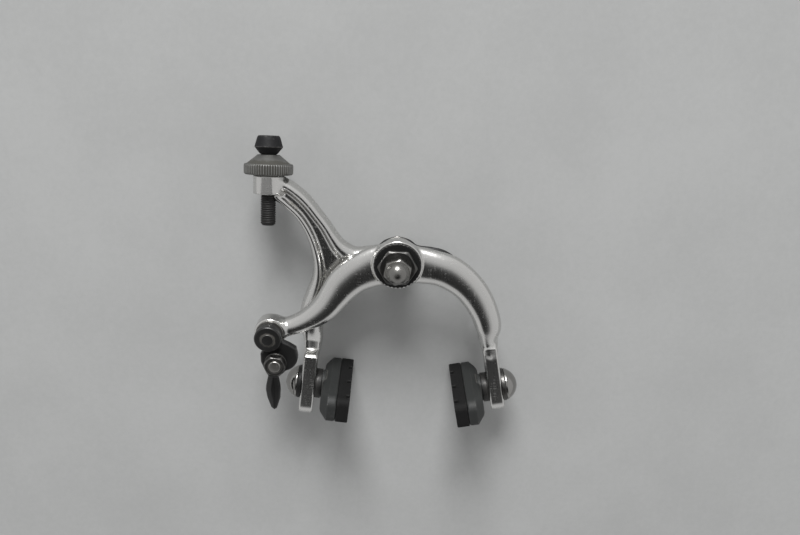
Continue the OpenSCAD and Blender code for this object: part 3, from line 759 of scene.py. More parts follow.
class CaliperSizes(bpy.types.PropertyGroup):
    ridges: bpy.props.IntProperty(
        name="Knurl ridges", description="Number of ridges around the adjuster's knurled nut",
        default=58, min=24, max=80)
    thread_pitch: bpy.props.FloatProperty(
        name="Thread pitch", description="Pitch of the bolt and barrel threads, in millimetres",
        default=1.0, min=0.6, max=1.5)
    washer_teeth: bpy.props.IntProperty(
        name="Washer teeth", description="Number of teeth around the black pivot washer",
        default=36, min=12, max=60)
    wire_diameter: bpy.props.FloatProperty(
        name="Spring wire", description="Diameter of the return spring's wire",
        default=0.002, min=0.001, max=0.003, unit="LENGTH")
    skin_pitch: bpy.props.FloatProperty(
        name="Forging detail", description="Grid pitch of the forged surfaces",
        default=0.0004, min=0.0003, max=0.001, unit="LENGTH")


class CaliperFinish(bpy.types.PropertyGroup):
    aluminium: bpy.props.FloatVectorProperty(
        name="Polished aluminium", description="Colour of the arms",
        default=(0.66, 0.655, 0.64), subtype="COLOR", min=0, max=1)
    dirt: bpy.props.FloatVectorProperty(
        name="Dirt", description="Colour of the dirt on the arms",
        default=(0.115, 0.105, 0.075), subtype="COLOR", min=0, max=1)
    alloy: bpy.props.FloatVectorProperty(
        name="Knurled nut", description="Colour of the adjuster's nut",
        default=(0.2, 0.2, 0.193), subtype="COLOR", min=0, max=1)
    chrome: bpy.props.FloatVectorProperty(
        name="Chrome", description="Colour of the dome nuts",
        default=(0.33, 0.325, 0.315), subtype="COLOR", min=0, max=1)
    plated: bpy.props.FloatVectorProperty(
        name="Plated steel", description="Colour of washers, bolt and studs",
        default=(0.42, 0.41, 0.39), subtype="COLOR", min=0, max=1)
    black: bpy.props.FloatVectorProperty(
        name="Lever black", description="Colour of the release lever",
        default=(0.012, 0.012, 0.012), subtype="COLOR", min=0, max=1)
    holder: bpy.props.FloatVectorProperty(
        name="Shoe holder", description="Colour of the shoe holders",
        default=(0.017, 0.0185, 0.018), subtype="COLOR", min=0, max=1)
    rubber: bpy.props.FloatVectorProperty(
        name="Rubber", description="Colour of the brake rubber",
        default=(0.007, 0.007, 0.007), subtype="COLOR", min=0, max=1)
    table: bpy.props.FloatVectorProperty(
        name="Table", description="Colour of the table that the brake lies on",
        default=(0.41, 0.414, 0.411), subtype="COLOR", min=0, max=1)


# Geometry node trees

def new_tree(name, inputs):
    tree = bpy.data.node_groups.new(name, "GeometryNodeTree")
    tree.interface.new_socket("Geometry", in_out="INPUT", socket_type="NodeSocketGeometry")
    for label, kind, value in inputs:
        socket = tree.interface.new_socket(label, in_out="INPUT", socket_type=kind)
        if value is not None:
            socket.default_value = value
    tree.interface.new_socket("Geometry", in_out="OUTPUT", socket_type="NodeSocketGeometry")
    return tree, tree.nodes.new("NodeGroupInput"), tree.nodes.new("NodeGroupOutput")


def finish_tree(tree, inp, out, geometry):
    real = tree.nodes.new("GeometryNodeRealizeInstances")
    paint = tree.nodes.new("GeometryNodeSetMaterial")
    wire(tree, geometry, real.inputs[0])
    wire(tree, real.outputs[0], paint.inputs["Geometry"])
    wire(tree, inp.outputs["Material"], paint.inputs["Material"])
    wire(tree, paint.outputs[0], out.inputs[0])
    return tree


def wire_tree():
    """Wire Along Path: sweeps a round wire along the curve."""
    tree, inp, out = new_tree("wire_along_path", [
        ("Radius", "NodeSocketFloat", 0.001),
        ("Sides", "NodeSocketInt", 16),
        ("Material", "NodeSocketMaterial", None)])
    circle = tree.nodes.new("GeometryNodeCurvePrimitiveCircle")
    sweep = tree.nodes.new("GeometryNodeCurveToMesh")
    smooth = tree.nodes.new("GeometryNodeSetShadeSmooth")
    wire(tree, inp.outputs["Radius"], circle.inputs["Radius"])
    wire(tree, inp.outputs["Sides"], circle.inputs["Resolution"])
    wire(tree, inp.outputs["Geometry"], sweep.inputs["Curve"])
    wire(tree, circle.outputs["Curve"], sweep.inputs["Profile Curve"])
    sweep.inputs["Fill Caps"].default_value = True
    wire(tree, sweep.outputs[0], smooth.inputs[0])
    return finish_tree(tree, inp, out, smooth.outputs[0])


def grown(name, source, tree, values):
    """Runs a node tree on a source object and keeps the result as a plain mesh."""
    modifier = source.modifiers.new("grow", "NODES")
    modifier.node_group = tree
    names = {s.name: s.identifier for s in tree.interface.items_tree
             if s.item_type == "SOCKET" and s.in_out == "INPUT"}
    for label, value in values.items():
        modifier[names[label]] = value
    bpy.context.view_layer.update()
    shape = source.evaluated_get(bpy.context.evaluated_depsgraph_get())
    mesh = bpy.data.meshes.new_from_object(shape)
    mesh.name = name
    bpy.data.objects.remove(source)
    obj = bpy.data.objects.new(name, mesh)
    bpy.context.scene.collection.objects.link(obj)
    mark_edges(mesh)
    return obj


# Operators

class BuildStage(bpy.types.Operator):
    """Sets up the camera, the table, the lamps and the room's light"""
    bl_idname = "caliper.stage"
    bl_label = "Stage"

    def execute(self, context):
        scene = context.scene
        view = np.array([0.0, math.cos(ELEVATION), -math.sin(ELEVATION)])
        level_up = np.array([0.0, math.sin(ELEVATION), math.cos(ELEVATION)])
        level_right = np.array([1.0, 0.0, 0.0])
        right = level_right * math.cos(ROLL) + level_up * math.sin(ROLL)
        up = -level_right * math.sin(ROLL) + level_up * math.cos(ROLL)
        data = bpy.data.cameras.new("camera")
        data.sensor_width = SENSOR
        data.lens = FOCAL_PIXELS / IMAGE_WIDTH * SENSOR
        data.clip_start = 0.01
        data.clip_end = 20.0
        camera = bpy.data.objects.new("camera", data)
        scene.collection.objects.link(camera)
        matrix = np.eye(4)
        matrix[:3, 0] = right
        matrix[:3, 1] = up
        matrix[:3, 2] = -view
        matrix[:3, 3] = CAMERA_AT * MM
        camera.matrix_world = Matrix(matrix.tolist())
        scene.camera = camera

        middle = np.array([0.0, Y_TABLE, 0.0])
        uphill = unit((0, TABLE_SLOPE, 1))
        corners = [middle + (level_right * a + uphill * b) * TABLE_REACH
                   for a, b in ((-1, -1), (1, -1), (1, 1), (-1, 1))]
        mesh = bpy.data.meshes.new("table")
        mesh.from_pydata([tuple(corner * MM) for corner in corners], [], [(0, 1, 2, 3)])
        table = bpy.data.objects.new("table", mesh)
        scene.collection.objects.link(table)
        mesh.materials.append(self.table_material(scene.caliper_finish))

        self.world(scene, -view * math.cos(DARK_BELOW) - up * math.sin(DARK_BELOW), up)
        self.lamp("key_lamp")
        return {"FINISHED"}

    def table_material(self, finish):
        material, tree, shader = start_material("pale_table")
        place = object_place(tree)
        cloud = noise(tree, place, 18.0, 5.0, 0.6)
        grain = noise(tree, place, 420.0, 5.0, 0.7)
        both = maths(tree, "ADD", maths(tree, "MULTIPLY", cloud, 0.6), maths(tree, "MULTIPLY", grain, 0.4))
        darker = tuple(v * 0.95 for v in finish.table)
        paler = tuple(v * 1.05 for v in finish.table)
        tint = mix_colour(tree, spread(tree, both, 0.3, 0.7), darker, paler)
        wire(tree, tint, shader.inputs["Base Color"])
        shader.inputs["Roughness"].default_value = 0.9
        shader.inputs["Specular IOR Level"].default_value = 0.1
        output = next(n for n in tree.nodes if n.type == "OUTPUT_MATERIAL")
        clear = tree.nodes.new("ShaderNodeBsdfTransparent")
        choose = tree.nodes.new("ShaderNodeMixShader")
        face = tree.nodes.new("ShaderNodeNewGeometry")
        wire(tree, face.outputs["Backfacing"], choose.inputs[0])
        wire(tree, shader.outputs[0], choose.inputs[1])
        wire(tree, clear.outputs[0], choose.inputs[2])
        wire(tree, choose.outputs[0], output.inputs["Surface"])
        return material

    def world(self, scene, dark, up):
        world = bpy.data.worlds.new("room_light")
        scene.world = world
        world.use_nodes = True
        tree = world.node_tree
        ground = next(n for n in tree.nodes if n.type == "BACKGROUND")
        place = tree.nodes.new("ShaderNodeTexCoord").outputs["Generated"]

        def along(direction):
            node = tree.nodes.new("ShaderNodeVectorMath")
            node.operation = "DOT_PRODUCT"
            node.inputs[1].default_value = tuple(direction)
            wire(tree, place, node.inputs[0])
            return node.outputs["Value"]

        ramp = tree.nodes.new("ShaderNodeValToRGB")
        ramp.color_ramp.interpolation = "EASE"
        while len(ramp.color_ramp.elements) < len(DARK_STOPS):
            ramp.color_ramp.elements.new(0.5)
        for element, (place_at, value) in zip(ramp.color_ramp.elements, DARK_STOPS):
            element.position = place_at
            element.color = (value, value, value, 1)
        wire(tree, along(dark), ramp.inputs[0])
        tall = maths(tree, "ADD", maths(tree, "MULTIPLY", along(up), ROOM_SLOPE), ROOM_LEVEL)
        strength = maths(tree, "MULTIPLY", ramp.outputs[0], tall)
        light = tree.nodes.new("ShaderNodeCombineColor")
        for i in range(3):
            wire(tree, strength, light.inputs[i])
        path = tree.nodes.new("ShaderNodeLightPath")
        white = mix_colour(tree, path.outputs["Is Camera Ray"], light.outputs[0], BACKDROP)
        wire(tree, white, ground.inputs["Color"])

    def lamp(self, name):
        data = bpy.data.lights.new(name, "AREA")
        data.shape = "DISK"
        data.size = LAMP_SIZE * MM
        data.energy = LAMP_POWER
        lamp = bpy.data.objects.new(name, data)
        bpy.context.scene.collection.objects.link(lamp)
        lamp.location = Vector(LAMP_AT) * MM
        toward = Vector(LAMP_AIM) * MM - lamp.location
        lamp.rotation_euler = toward.to_track_quat("-Z", "Y").to_euler()


class BuildArms(bpy.types.Operator):
    """Makes the two forged arms"""
    bl_idname = "caliper.arms"
    bl_label = "Arms"

    def execute(self, context):
        pitch = context.scene.caliper_sizes.skin_pitch / MM
        front = skin(self.front(), (-60.5, -20.6, -72), (46.5, 0.9, 11.5), pitch)
        add_piece("front_arm_forging", front, "polished", "front", "polished_aluminium", "front_arm")
        rear = skin(self.rear(), (-58.5, -19.6, -72), (9.5, 0.9, 38.5), pitch)
        add_piece("rear_arm_forging", rear, "polished_rear", "rear", "polished_aluminium", "rear_arm")
        return {"FINISHED"}

    def front(self):
        f, b, g = Y_DUST + 0.2, Y_FRONT, Y_DUST + 0.9
        arm = bar([
            (-51.4, -28.4, 8, f, b), (-47.5, -28.1, 7.8, f, b), (-42.5, -26.8, 7.9, f, b),
            (-37.8, -24.9, 8.8, f, b), (-33, -22.2, 10.4, f, b), (-29, -18.7, 11.5, f, b),
            (-25.5, -14.2, 12.8, f, b), (-21.5, -9.3, 14.3, f, b), (-16, -5, 15.2, f, b),
            (-8.5, -2.1, 16.6, g, b), (0, -0.8, 17, g, b), (8, -1.8, 15.4, g, b),
            (15.6, -3.2, 14.1, f, b), (21.1, -5.5, 14, f, b), (26.9, -10, 13.1, f, b),
            (31.6, -16, 12.4, f, b), (35.2, -23.3, 11.5, f, b), (37, -30, 10.7, f, b + 0.4),
            (37.2, -35, 8.4, f + 0.6, b + 3), (37.9, -40, 6.1, f + 1, b + 5)], crest=0.3)
        boss = post(0, 0, 10, Y_FRONT, Y_DUST, 0.55, 0.12)
        end = post(END[0], END[1], 6.2, Y_FRONT, Y_DUST, 0.6)
        blade = leg(1)
        pin = post(PEG_X[1], PEG_Z, 1.7, Y_FRONT - 2, -0.4, 0.4)
        bore = post(0, 0, 3.06, 0, -30, 0.1)
        hole = post(END[0], END[1], 2.5, 0, -30, 0.1)

        def field(x, y, z):
            d = merge(arm(x, y, z), boss(x, y, z), 0.8)
            d = merge(d, end(x, y, z), 2.2)
            d = merge(d, blade(x, y, z), 2.4)
            d = merge(d, pin(x, y, z), 0.8)
            d = cut(d, bore(x, y, z), 0.4)
            return cut(d, hole(x, y, z), 0.4)
        return field

    def rear(self):
        f, b = Y_BEARING + 0.25, Y_REAR
        mid = (f + b) / 2
        left = bar([
            (-50, 28.6, 4.6, f, b), (-46.6, 26.2, 4, f, b), (-42.7, 22.7, 3.5, f, b),
            (-38.8, 18.5, 3.6, f, b), (-35.9, 13.6, 3.8, f, b), (-33.8, 8.2, 4, f, b),
            (-32.5, 2.7, 4.3, f, b), (-31.9, -3, 4.7, f, b), (-32.4, -9, 5.6, f, b),
            (-34.1, -16, 7.8, f, b), (-36, -23.5, 9.6, f, b), (-36.6, -30, 10.2, f - 0.2, b + 0.4),
            (-36.2, -35.5, 8, f - 1.3, b), (-36.4, -40, 6.1, f - 2.3, b - 0.6)])
        right = bar([
            (-48.4, 31.5, 4, f, b), (-43.6, 30.9, 4.4, f, b), (-38.7, 27.3, 4.6, f, b),
            (-34.9, 23.2, 4.6, f, b), (-31.7, 18.6, 4.5, f, b), (-28.4, 13.6, 4.6, f, b),
            (-25.8, 8.6, 5.2, f, b), (-22.8, 3.8, 6.6, f, b), (-17.5, -0.4, 9, f, b),
            (-9, -1.6, 12, f, b), (0, -1, 13, f, b)])
        beam = bar([
            (0, -1, 12, f, b), (-9, -4.2, 11.4, f, b), (-18, -8.4, 10.6, f, b), (-25.6, -13, 10, f, b),
            (-31.6, -18.6, 9.6, f, b), (-35.6, -26, 9.4, f, b)])
        web = plate([
            (-48, 30.4), (-43.6, 30.4), (-38.7, 26.9), (-34.9, 22.9), (-31.7, 18.3), (-28.4, 13.3),
            (-25.8, 8.3), (-22.8, 3.5), (-17.5, -0.6), (-8, -3), (-18, -8.4), (-25.6, -13),
            (-31.6, -18.6), (-34.1, -20), (-33.4, -14), (-32.4, -9), (-31.9, -3), (-32.5, 2.7),
            (-33.8, 8.2), (-35.9, 13.6), (-38.8, 18.5), (-42.7, 22.7), (-46.6, 26.2)], mid - 1.1, mid + 1.5)
        boss = post(0, 0, 7, Y_REAR, Y_BEARING, 0.5)
        holder = spindle(BOSS, BOSS_AXIS, 5.9, -3.65, 3.65, 0.5)
        face = np.array([0.0, -math.cos(BOSS_FLAT), math.sin(BOSS_FLAT)])
        blade = leg(-1)
        pin = post(PEG_X[-1], PEG_Z, 1.7, Y_REAR - 2, -0.4, 0.4)
        bore = post(0, 0, 3.06, 0, -30, 0.1)
        hole = spindle(BOSS, BOSS_AXIS, 3.0, -15, 15, 0.1)

        def field(x, y, z):
            d = merge(left(x, y, z), right(x, y, z), 1.0)
            d = merge(d, beam(x, y, z), 1.0)
            d = merge(d, web(x, y, z), 1.0)
            d = merge(d, boss(x, y, z), 0.8)
            out = (x - BOSS[0]) * face[0] + (y - BOSS[1]) * face[1] + (z - BOSS[2]) * face[2]
            d = merge(d, cut(holder(x, y, z), 5.5 - out, 0.1), 1.6)
            d = merge(d, blade(x, y, z), 2.4)
            d = merge(d, pin(x, y, z), 0.8)
            d = cut(d, bore(x, y, z), 0.4)
            return cut(d, hole(x, y, z), 0.4)
        return field


class BuildPivot(bpy.types.Operator):
    """Makes the bolt, the washers and the nuts on the pivot, and the return spring"""
    bl_idname = "caliper.pivot"
    bl_label = "Pivot and spring"

    def execute(self, context):
        sizes = context.scene.caliper_sizes
        origin = (0, 0, 0)
        bolt = threaded(3.0, -8.0, 29.7, origin, FORE, sizes.thread_pitch, 0.32)
        add_piece("pivot_bolt_rod", bolt, "plated", "mount", "plated_steel", "pivot_bolt")
        for name, radius, back, front, finish, slot in (
                ("thrust_washer", 7, Y_THRUST, Y_REAR, "plated", "plated_steel"),
                ("bearing_washer", 8, Y_BEARING, Y_FRONT, "brass", "brass")):
            ring = [(BOLT_BORE, -back), (radius, -back), (radius, -front), (BOLT_BORE, -front)]
            disc = lathe(soften(ring, 0.12, 3, True), origin, FORE, 72, True)
            add_piece(name + "_disc", disc, finish, "mount", slot, name)
        teeth = sizes.washer_teeth

        def toothed(angle, r, s):
            return r - (0.22 * (np.cos(angle * teeth) < -0.2) if r > 9 else 0)
        low, high = -Y_DUST, -Y_ADJUST
        rim = soften([(BOLT_BORE, low), (9.25, low), (9.25, high), (BOLT_BORE, high)], 0.16, 3, True)
        disc = lathe(rim, origin, FORE, teeth * 8, True, toothed)
        add_piece("dust_washer_disc", disc, "black_washer", "mount", "black_steel", "dust_washer")
        low, high = -Y_ADJUST, -Y_DOME
        flat = soften([
            (BOLT_BORE, low), (7.4, low), (8.2, low + 0.2), (8.2, high - 0.7), (6.8, high),
            (BOLT_BORE, high)], 0.1, 3, True)
        thin_nut = lathe(flat, origin, FORE, 144, True, hexagon(14, 4.0))
        add_piece("adjusting_nut_hexagon", thin_nut, "dark_steel", "mount", "plated_steel", "adjusting_nut")
        low, high = high, high + 4.4
        r = 4.6
        skirt = soften([
            (0, low), (r, low), (5.85, low + 0.3), (5.85, high - 0.6), (4.75, high),
            (r, high + 0.05)], 0.12, 3)
        ball = [(r * math.cos(a), high - 0.4 + r * math.sin(a)) for a in np.linspace(0.12, math.pi / 2, 18)]
        ball[-1] = (0, ball[-1][1])
        dome = lathe(skirt + ball, origin, FORE, 144, False, hexagon(10, 43.4))
        add_piece("dome_nut_body", dome, "dull_chrome", "mount", "chrome", "dome_nut")
        self.spring(sizes)
        for name, finish in (("seat_washer", "plated"), ("spring_block", "block")):
            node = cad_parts[name]
            node.data.materials.clear()
            node.data.materials.append(MATERIALS[finish])
        slider = soften([(1.78, -1.5), (3.2, -1.5), (3.2, 1.7), (1.78, 1.7)], 0.3, 3, True)
        for side, body in ((-1, "rear"), (1, "front")):
            sleeve = lathe(slider, (PEG_X[side], Y_SPRING, PEG_Z), FORE, 40, True)
            name = SIDE[side] + "_spring_slider"
            add_piece(name + "_sleeve", sleeve, "block", body, "black_plastic", name)
        return {"FINISHED"}

    def spring(self, sizes):
        """The wire's two halves, each from the middle of the block to a slider on its own arm's peg."""
        reach = 1.5 + 1.7 + 1.0 + 0.2
        foot = {side: PEG_X[side] - side * reach for side in (-1, 1)}
        left = [(0, 5.3), (-4.5, 4.2), (-8, 1.6), (-14, 0.2), (-19.6, -2), (-24.6, -6.4), (-28.2, -12),
                (-30, -18), (foot[-1], -26), (foot[-1] - 0.3, -30.5)]
        right = [(0, 5.3), (4.5, 4.2), (8, 1.6), (14, 0.6), (19.6, -1.1), (25, -5.6), (29, -11.5),
                 (31, -18), (foot[1], -26), (foot[1] + 0.3, -30.5)]
        tree = wire_tree()
        for side, path, other, body in ((-1, left, right, "rear"), (1, right, left, "front")):
            smooth = curve_points([other[1]] + path, 6)[6:]
            curve = bpy.data.curves.new("wire_path", "CURVE")
            curve.dimensions = "3D"
            spline = curve.splines.new("POLY")
            spline.points.add(len(smooth) - 1)
            for point, (px, pz) in zip(spline.points, smooth):
                point.co = (px * MM, Y_SPRING * MM, pz * MM, 1)
            source = bpy.data.objects.new("wire_path", curve)
            bpy.context.scene.collection.objects.link(source)
            piece = grown(SIDE[side] + "_spring_wire", source, tree, {
                "Radius": sizes.wire_diameter / 2, "Sides": 20, "Material": MATERIALS["black_lever"]})
            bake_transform(piece)
            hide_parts("return_spring")


class BuildAdjuster(bpy.types.Operator):
    """Makes the cable adjuster: barrel, knurled nut and cap"""
    bl_idname = "caliper.adjuster"
    bl_label = "Cable adjuster"

    def execute(self, context):
        sizes = context.scene.caliper_sizes
        stem = threaded(2.95, -15.85, 14.4, BOSS, BOSS_AXIS, sizes.thread_pitch * 0.9, 0.3, 48, 1.2)
        add_piece("adjuster_barrel_thread", stem, "black_washer", "barrel", "black_steel", "adjuster_barrel")
        ridges = sizes.ridges

        def knurled(angle, radius, s):
            if radius < 9.3:
                return np.full(len(angle), radius)
            return radius - 0.45 * (0.5 - 0.5 * np.cos(angle * ridges)) ** 0.8
        outline = soften([
            (3.0, 3.66), (5.6, 3.66), (9.0, 3.9), (9.48, 4.4), (9.48, 7.5), (9.1, 8.05), (8.4, 8.1),
            (4.4, 11.4), (4.2, 11.53), (3.0, 11.53)], 0.18, 3, True)
        nut = lathe(outline, BOSS, BOSS_AXIS, ridges * 8, True, knurled)
        add_piece("knurled_adjuster_nut", nut, "grey_alloy", "knurled", "grey_alloy", "adjuster_nut")
        outline = soften([
            (1.2, 11.66), (3.1, 11.66), (3.6, 12.1), (5.2, 14.1), (5.5, 14.5), (5.3, 15.0), (4.6, 17.6),
            (4.2, 18.6), (3.7, 18.85), (2.75, 18.8), (2.55, 18.4), (2.55, 15.1), (1.2, 15.1)], 0.3, 4, True)
        cap = lathe(outline, BOSS, BOSS_AXIS, 72, True)
        add_piece("adjuster_cap_moulding", cap, "black_cap", "barrel", "black_plastic", "adjuster_cap")
        return {"FINISHED"}


class BuildRelease(bpy.types.Operator):
    """Makes the cable release: lever, screw and cable anchor"""
    bl_idname = "caliper.release"
    bl_label = "Cable release"

    def execute(self, context):
        pitch = 0.3
        lever = skin(self.lever(), (-61, -29, -64.5), (-36, -17.3, -22), pitch)
        add_piece("release_lever_forging", lever, "black_lever", "release", "black_plastic", "release_lever")
        at = (END[0], 0, END[1])
        arm, back, front = -Y_FRONT, -Y_LEVER, -Y_DISC
        outline = soften([
            (0, arm), (2.44, arm), (2.44, front + 0.02), (5.45, front + 0.02), (5.5, front + 0.2),
            (5.5, front + 1.5), (5.1, front + 1.95), (2.5, front + 2), (2.3, front + 2.45),
            (0, front + 2.5)], 0.16, 4)
        screw = lathe(outline, at, FORE, 72)
        add_piece("release_screw_head", screw, "black_lever", "front", "black_steel", "release_screw")
        low, high = -Y_DUST + 0.02, back - 0.02
        ring = soften([(2.6, low), (5.6, low), (5.6, high), (2.6, high)], 0.12, 3, True)
        detent = lathe(ring, at, FORE, 64, True)
        add_piece("detent_washer_disc", detent, "plated", "front", "plated_steel", "detent_washer")
        at = (ANCHOR[0], 0, ANCHOR[1])
        low = -Y_ANCHOR
        outline = soften([
            (0, back - 2), (3.9, back - 2), (3.9, back - 0.02), (2.5, back - 0.02), (2.5, low + 3.6),
            (2.2, low + 3.98), (0, low + 4)], 0.14, 3)
        shank = lathe(outline, at, FORE, 56)
        add_piece("anchor_bolt_shank", shank, "plated", "release", "plated_steel", "anchor_bolt")
        ring = soften([(2.55, low), (4.4, low), (4.4, low + 0.78), (2.55, low + 0.78)], 0.14, 3, True)
        disc = lathe(ring, at, FORE, 64, True)
        add_piece("anchor_washer_disc", disc, "dark_steel", "release", "plated_steel", "anchor_washer")
        low = low + 0.82
        outline = soften([
            (2.55, low), (3.7, low), (4.65, low + 0.3), (4.7, low + 2.4), (3.85, low + 2.96),
            (3.0, low + 2.96), (2.55, low + 2.7)], 0.1, 3, True)
        nut = lathe(outline, at, FORE, 120, True, hexagon(8, 10.0))
        add_piece("anchor_nut_hexagon", nut, "dark_steel", "release", "plated_steel", "anchor_nut")
        return {"FINISHED"}

    def lever(self):
        ex, ez = END
        ax, az = ANCHOR[0] - ex, ANCHOR[1] - ez
        outline = [(-4.6, -1.6), (-2.6, -5.8), (-3.8, -7.4), (-3.9, -11), (-2.6, -15), (-1.2, -18.2),
                   (2.2, -18.6), (5, -16.4), (10.6, -9), (10.8, -5.4), (4.7, -1.5)]
        leaf = [(-1.4, 0.6), (-3.0, -5.6), (-3.2, -7.8), (-2.8, -11), (-1.4, -15.4), (-0.2, -16.6),
                (1.0, -15.8), (2.5, -11.6), (2.9, -8), (2.9, -5.6), (2, 0.6)]
        lean = math.radians(8.0)
        back = Y_LEVER - 0.7
        bore = post(ex, ez, 2.56, 0, -40, 0.1)
        hole = post(ANCHOR[0], ANCHOR[1], 2.5, 0, -40, 0.1)

        def field(x, y, z):
            lx, lz = np.broadcast_arrays(x - ex, z - ez)
            flat = merge(polygon_distance(lx, lz, outline), np.sqrt(lx ** 2 + lz ** 2) - 4.9, 0.8)
            flat = merge(flat, np.sqrt((lx - ax - 2.2) ** 2 + (lz - az - 1) ** 2) - 6.4, 0.6)
            flat = merge(flat, np.sqrt((lx - ax) ** 2 + (lz - az) ** 2) - 5.6, 0.6)
            body = rounded(flat, np.abs(y - (Y_LEVER + Y_DISC) / 2) - (Y_LEVER - Y_DISC) / 2, 0.7)
            along = (lz + 17.6) * math.cos(lean) + (y - back) * math.sin(lean)
            through = (back - y) * math.cos(lean) + (lz + 17.6) * math.sin(lean)
            bx, bz = np.broadcast_arrays(lx + 0.1, along)
            shape = polygon_distance(bx, bz, leaf)
            crown = np.clip(-shape, 0, 2.2) * 0.28
            blade = rounded(shape, np.abs(through + 1.1) - 0.75 - crown, 0.5)
            d = merge(body, blade, 1.2)
            d = cut(d, bore(x, y, z), 0.3)
            return cut(d, hole(x, y, z), 0.3)
        return field


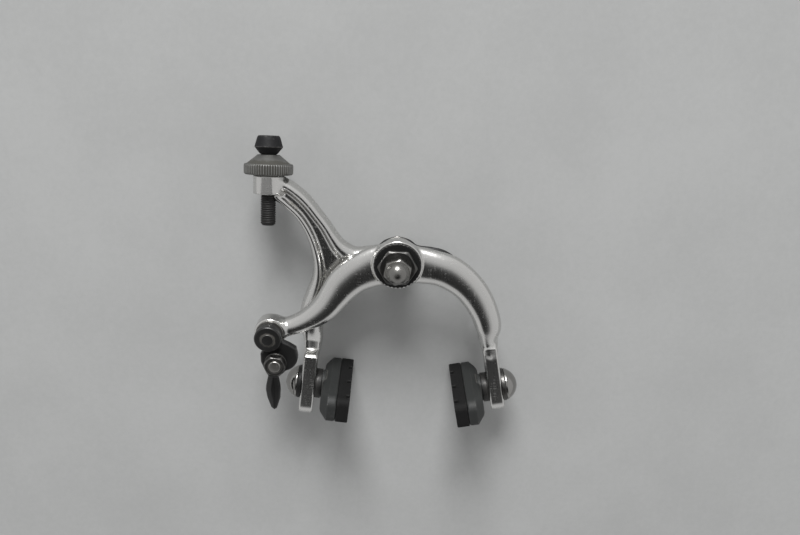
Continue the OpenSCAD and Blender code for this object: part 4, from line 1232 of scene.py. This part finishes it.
class BuildShoes(bpy.types.Operator):
    """Makes the two brake shoes with their studs, washers and dome nuts"""
    bl_idname = "caliper.shoes"
    bl_label = "Brake shoes"

    def execute(self, context):
        pitch = 0.34
        for side in (-1, 1):
            at, out, up = stud_frame(side)
            name = SIDE[side]
            shoe = name + "_shoe"
            stud = name + "_stud"
            low = at - out * 18.6 - abs(up) * 8
            high = at - out * 5 + abs(up) * 8
            lo = np.minimum(low, high) - (1.5, 24, 2)
            hi = np.maximum(low, high) + (1.5, 19, 2)
            holder = skin(self.holder(side), lo, hi, pitch)
            add_piece(shoe + "_holder_channel", holder, "holder", shoe, "grey_holder", shoe + "_holder")
            rubber = skin(self.rubber(side), lo, hi, pitch)
            add_piece(shoe + "_rubber_block", rubber, "rubber", shoe, "black_rubber", shoe + "_rubber")
            rod = threaded(3.0, -11.4, 7.9, at, out, 1.0, 0.3, 36)
            add_piece(shoe + "_stud_rod", rod, "plated", shoe, "plated_steel", shoe + "_stud")
            convex = [(STUD_BORE, -2.92), (6.2, -2.92), (6.2, -3.3), (5.2, -3.7), (4.0, -4.0),
                      (STUD_BORE, -4.18)]
            concave = [(STUD_BORE, -4.22), (4.0, -4.04), (5.2, -3.74), (6.2, -3.36), (6.2, -5.48),
                       (STUD_BORE, -5.48)]
            for kind, profile in (("convex", convex), ("concave", concave)):
                ring = lathe(soften(profile, 0.1, 3, True), at, out, 64, True)
                node = name + "_" + kind + "_washer"
                add_piece(node + "_ring", ring, "black_washer", stud, "plated_steel", node)
            profile = soften([(STUD_BORE, 2.92), (6.9, 2.92), (6.9, 4.38), (STUD_BORE, 4.38)], 0.2, 3, True)
            disc = lathe(profile, at, out, 72, True)
            finish = "black_washer" if side < 0 else "dark_steel"
            add_piece(name + "_outer_washer_disc", disc, finish, stud, "black_steel", name + "_outer_washer")
            rise, r = 4.1, 6.4
            ball = (r * r + rise * rise) / (2 * rise)
            arc = [(ball * math.sin(a), 5.4 + rise - ball + ball * math.cos(a))
                   for a in np.linspace(math.asin(r / ball), 0, 20)]
            arc[-1] = (0, arc[-1][1])
            skirt = soften([(0, 4.42), (r, 4.42), (6.7, 4.6), (6.7, 5.2), (r, 5.4)], 0.1, 3)
            cap = lathe(skirt + arc, at, out, 72)
            add_piece(name + "_cap_nut_dome", cap, "chrome", stud, "chrome", name + "_cap_nut")
        return {"FINISHED"}

    def local(self, side, x, y, z):
        at, out, up = stud_frame(side)
        dx, dz = x - at[0], z - at[2]
        return dx * out[0] + dz * out[2], y - at[1] + 2.6, dx * up[0] + dz * up[2]

    def oblong(self, v, h, long, high, r):
        a = np.abs(v) - long / 2 + r
        b = np.abs(h) - high / 2 + r
        return np.minimum(np.maximum(a, b), 0) + np.sqrt(np.maximum(a, 0) ** 2 + np.maximum(b, 0) ** 2) - r

    def holder(self, side):
        """A channel that narrows to the boss at the leg."""
        def field(x, y, z):
            s, v, h = self.local(side, x, y, z)
            taper = np.clip((s + 9.3) / 3.1, 0, 1)
            plan = self.oblong(v, h, 38 - 9 * taper, 11.6 - 3.6 * taper, 4 - 0.6 * taper)
            outer = rounded(plan, np.abs(s + 9.55) - 3.35, 0.8)
            hub = rounded(np.sqrt((v - 2.6) ** 2 + h ** 2) - 5.8, np.abs(s + 6.3) - 0.78, 0.3)
            d = merge(outer, hub, 0.6)
            inner = np.maximum(self.oblong(v, h, 35.4, 9.0, 3), s + 10.6)
            d = cut(d, inner, 0.3)
            return cut(d, np.sqrt((v - 2.6) ** 2 + h ** 2) - 3.0, 0.2)
        return field

    def rubber(self, side):
        """The block, with its grooves and the tongue that fills the channel."""
        def field(x, y, z):
            s, v, h = self.local(side, x, y, z)
            inner = np.maximum(self.oblong(v, h, 35.3, 8.9, 3), np.abs(s + 12.0) - 1.38)
            block = rounded(self.oblong(v, h, 37.2, 11.0, 2.6), np.abs(s + 15.52) - 2.58, 0.5)
            d = merge(inner, block, 0.2)
            for centre in GROOVES:
                d = cut(d, np.maximum(np.abs(v - centre) - 0.9, s + 16.1), 0.5)
            return cut(d, np.maximum(np.sqrt((v - 2.6) ** 2 + h ** 2) - 4.5, -s - 11.6), 0.1)
        return field


class BrakePanel(bpy.types.Panel):
    """Lists the pieces of the brake"""
    bl_idname = "CALIPER_PT_pieces"
    bl_label = "Caliper Brake"
    bl_space_type = "VIEW_3D"
    bl_region_type = "UI"
    bl_category = "Brake"

    def draw(self, context):
        layout = self.layout
        for operator in STEPS:
            layout.operator(operator.bl_idname)
        for group in (context.scene.caliper_sizes, context.scene.caliper_finish):
            box = layout.box()
            for name in group.__annotations__:
                box.prop(group, name)


STEPS = (BuildStage, BuildArms, BuildPivot, BuildAdjuster, BuildRelease, BuildShoes)
CLASSES = (CaliperSizes, CaliperFinish) + STEPS + (BrakePanel,)


def register():
    for item in CLASSES:
        bpy.utils.register_class(item)
    bpy.types.Scene.caliper_sizes = bpy.props.PointerProperty(type=CaliperSizes)
    bpy.types.Scene.caliper_finish = bpy.props.PointerProperty(type=CaliperFinish)


def unregister():
    del bpy.types.Scene.caliper_finish
    del bpy.types.Scene.caliper_sizes
    for item in reversed(CLASSES):
        bpy.utils.unregister_class(item)


def main():
    register()
    bpy.context.scene.view_settings.view_transform = "Standard"
    make_materials()
    bpy.ops.caliper.stage()
    bpy.ops.caliper.arms()
    bpy.ops.caliper.pivot()
    bpy.ops.caliper.adjuster()
    bpy.ops.caliper.release()
    bpy.ops.caliper.shoes()
    bpy.context.view_layer.update()


if __name__ == "__main__":
    main()
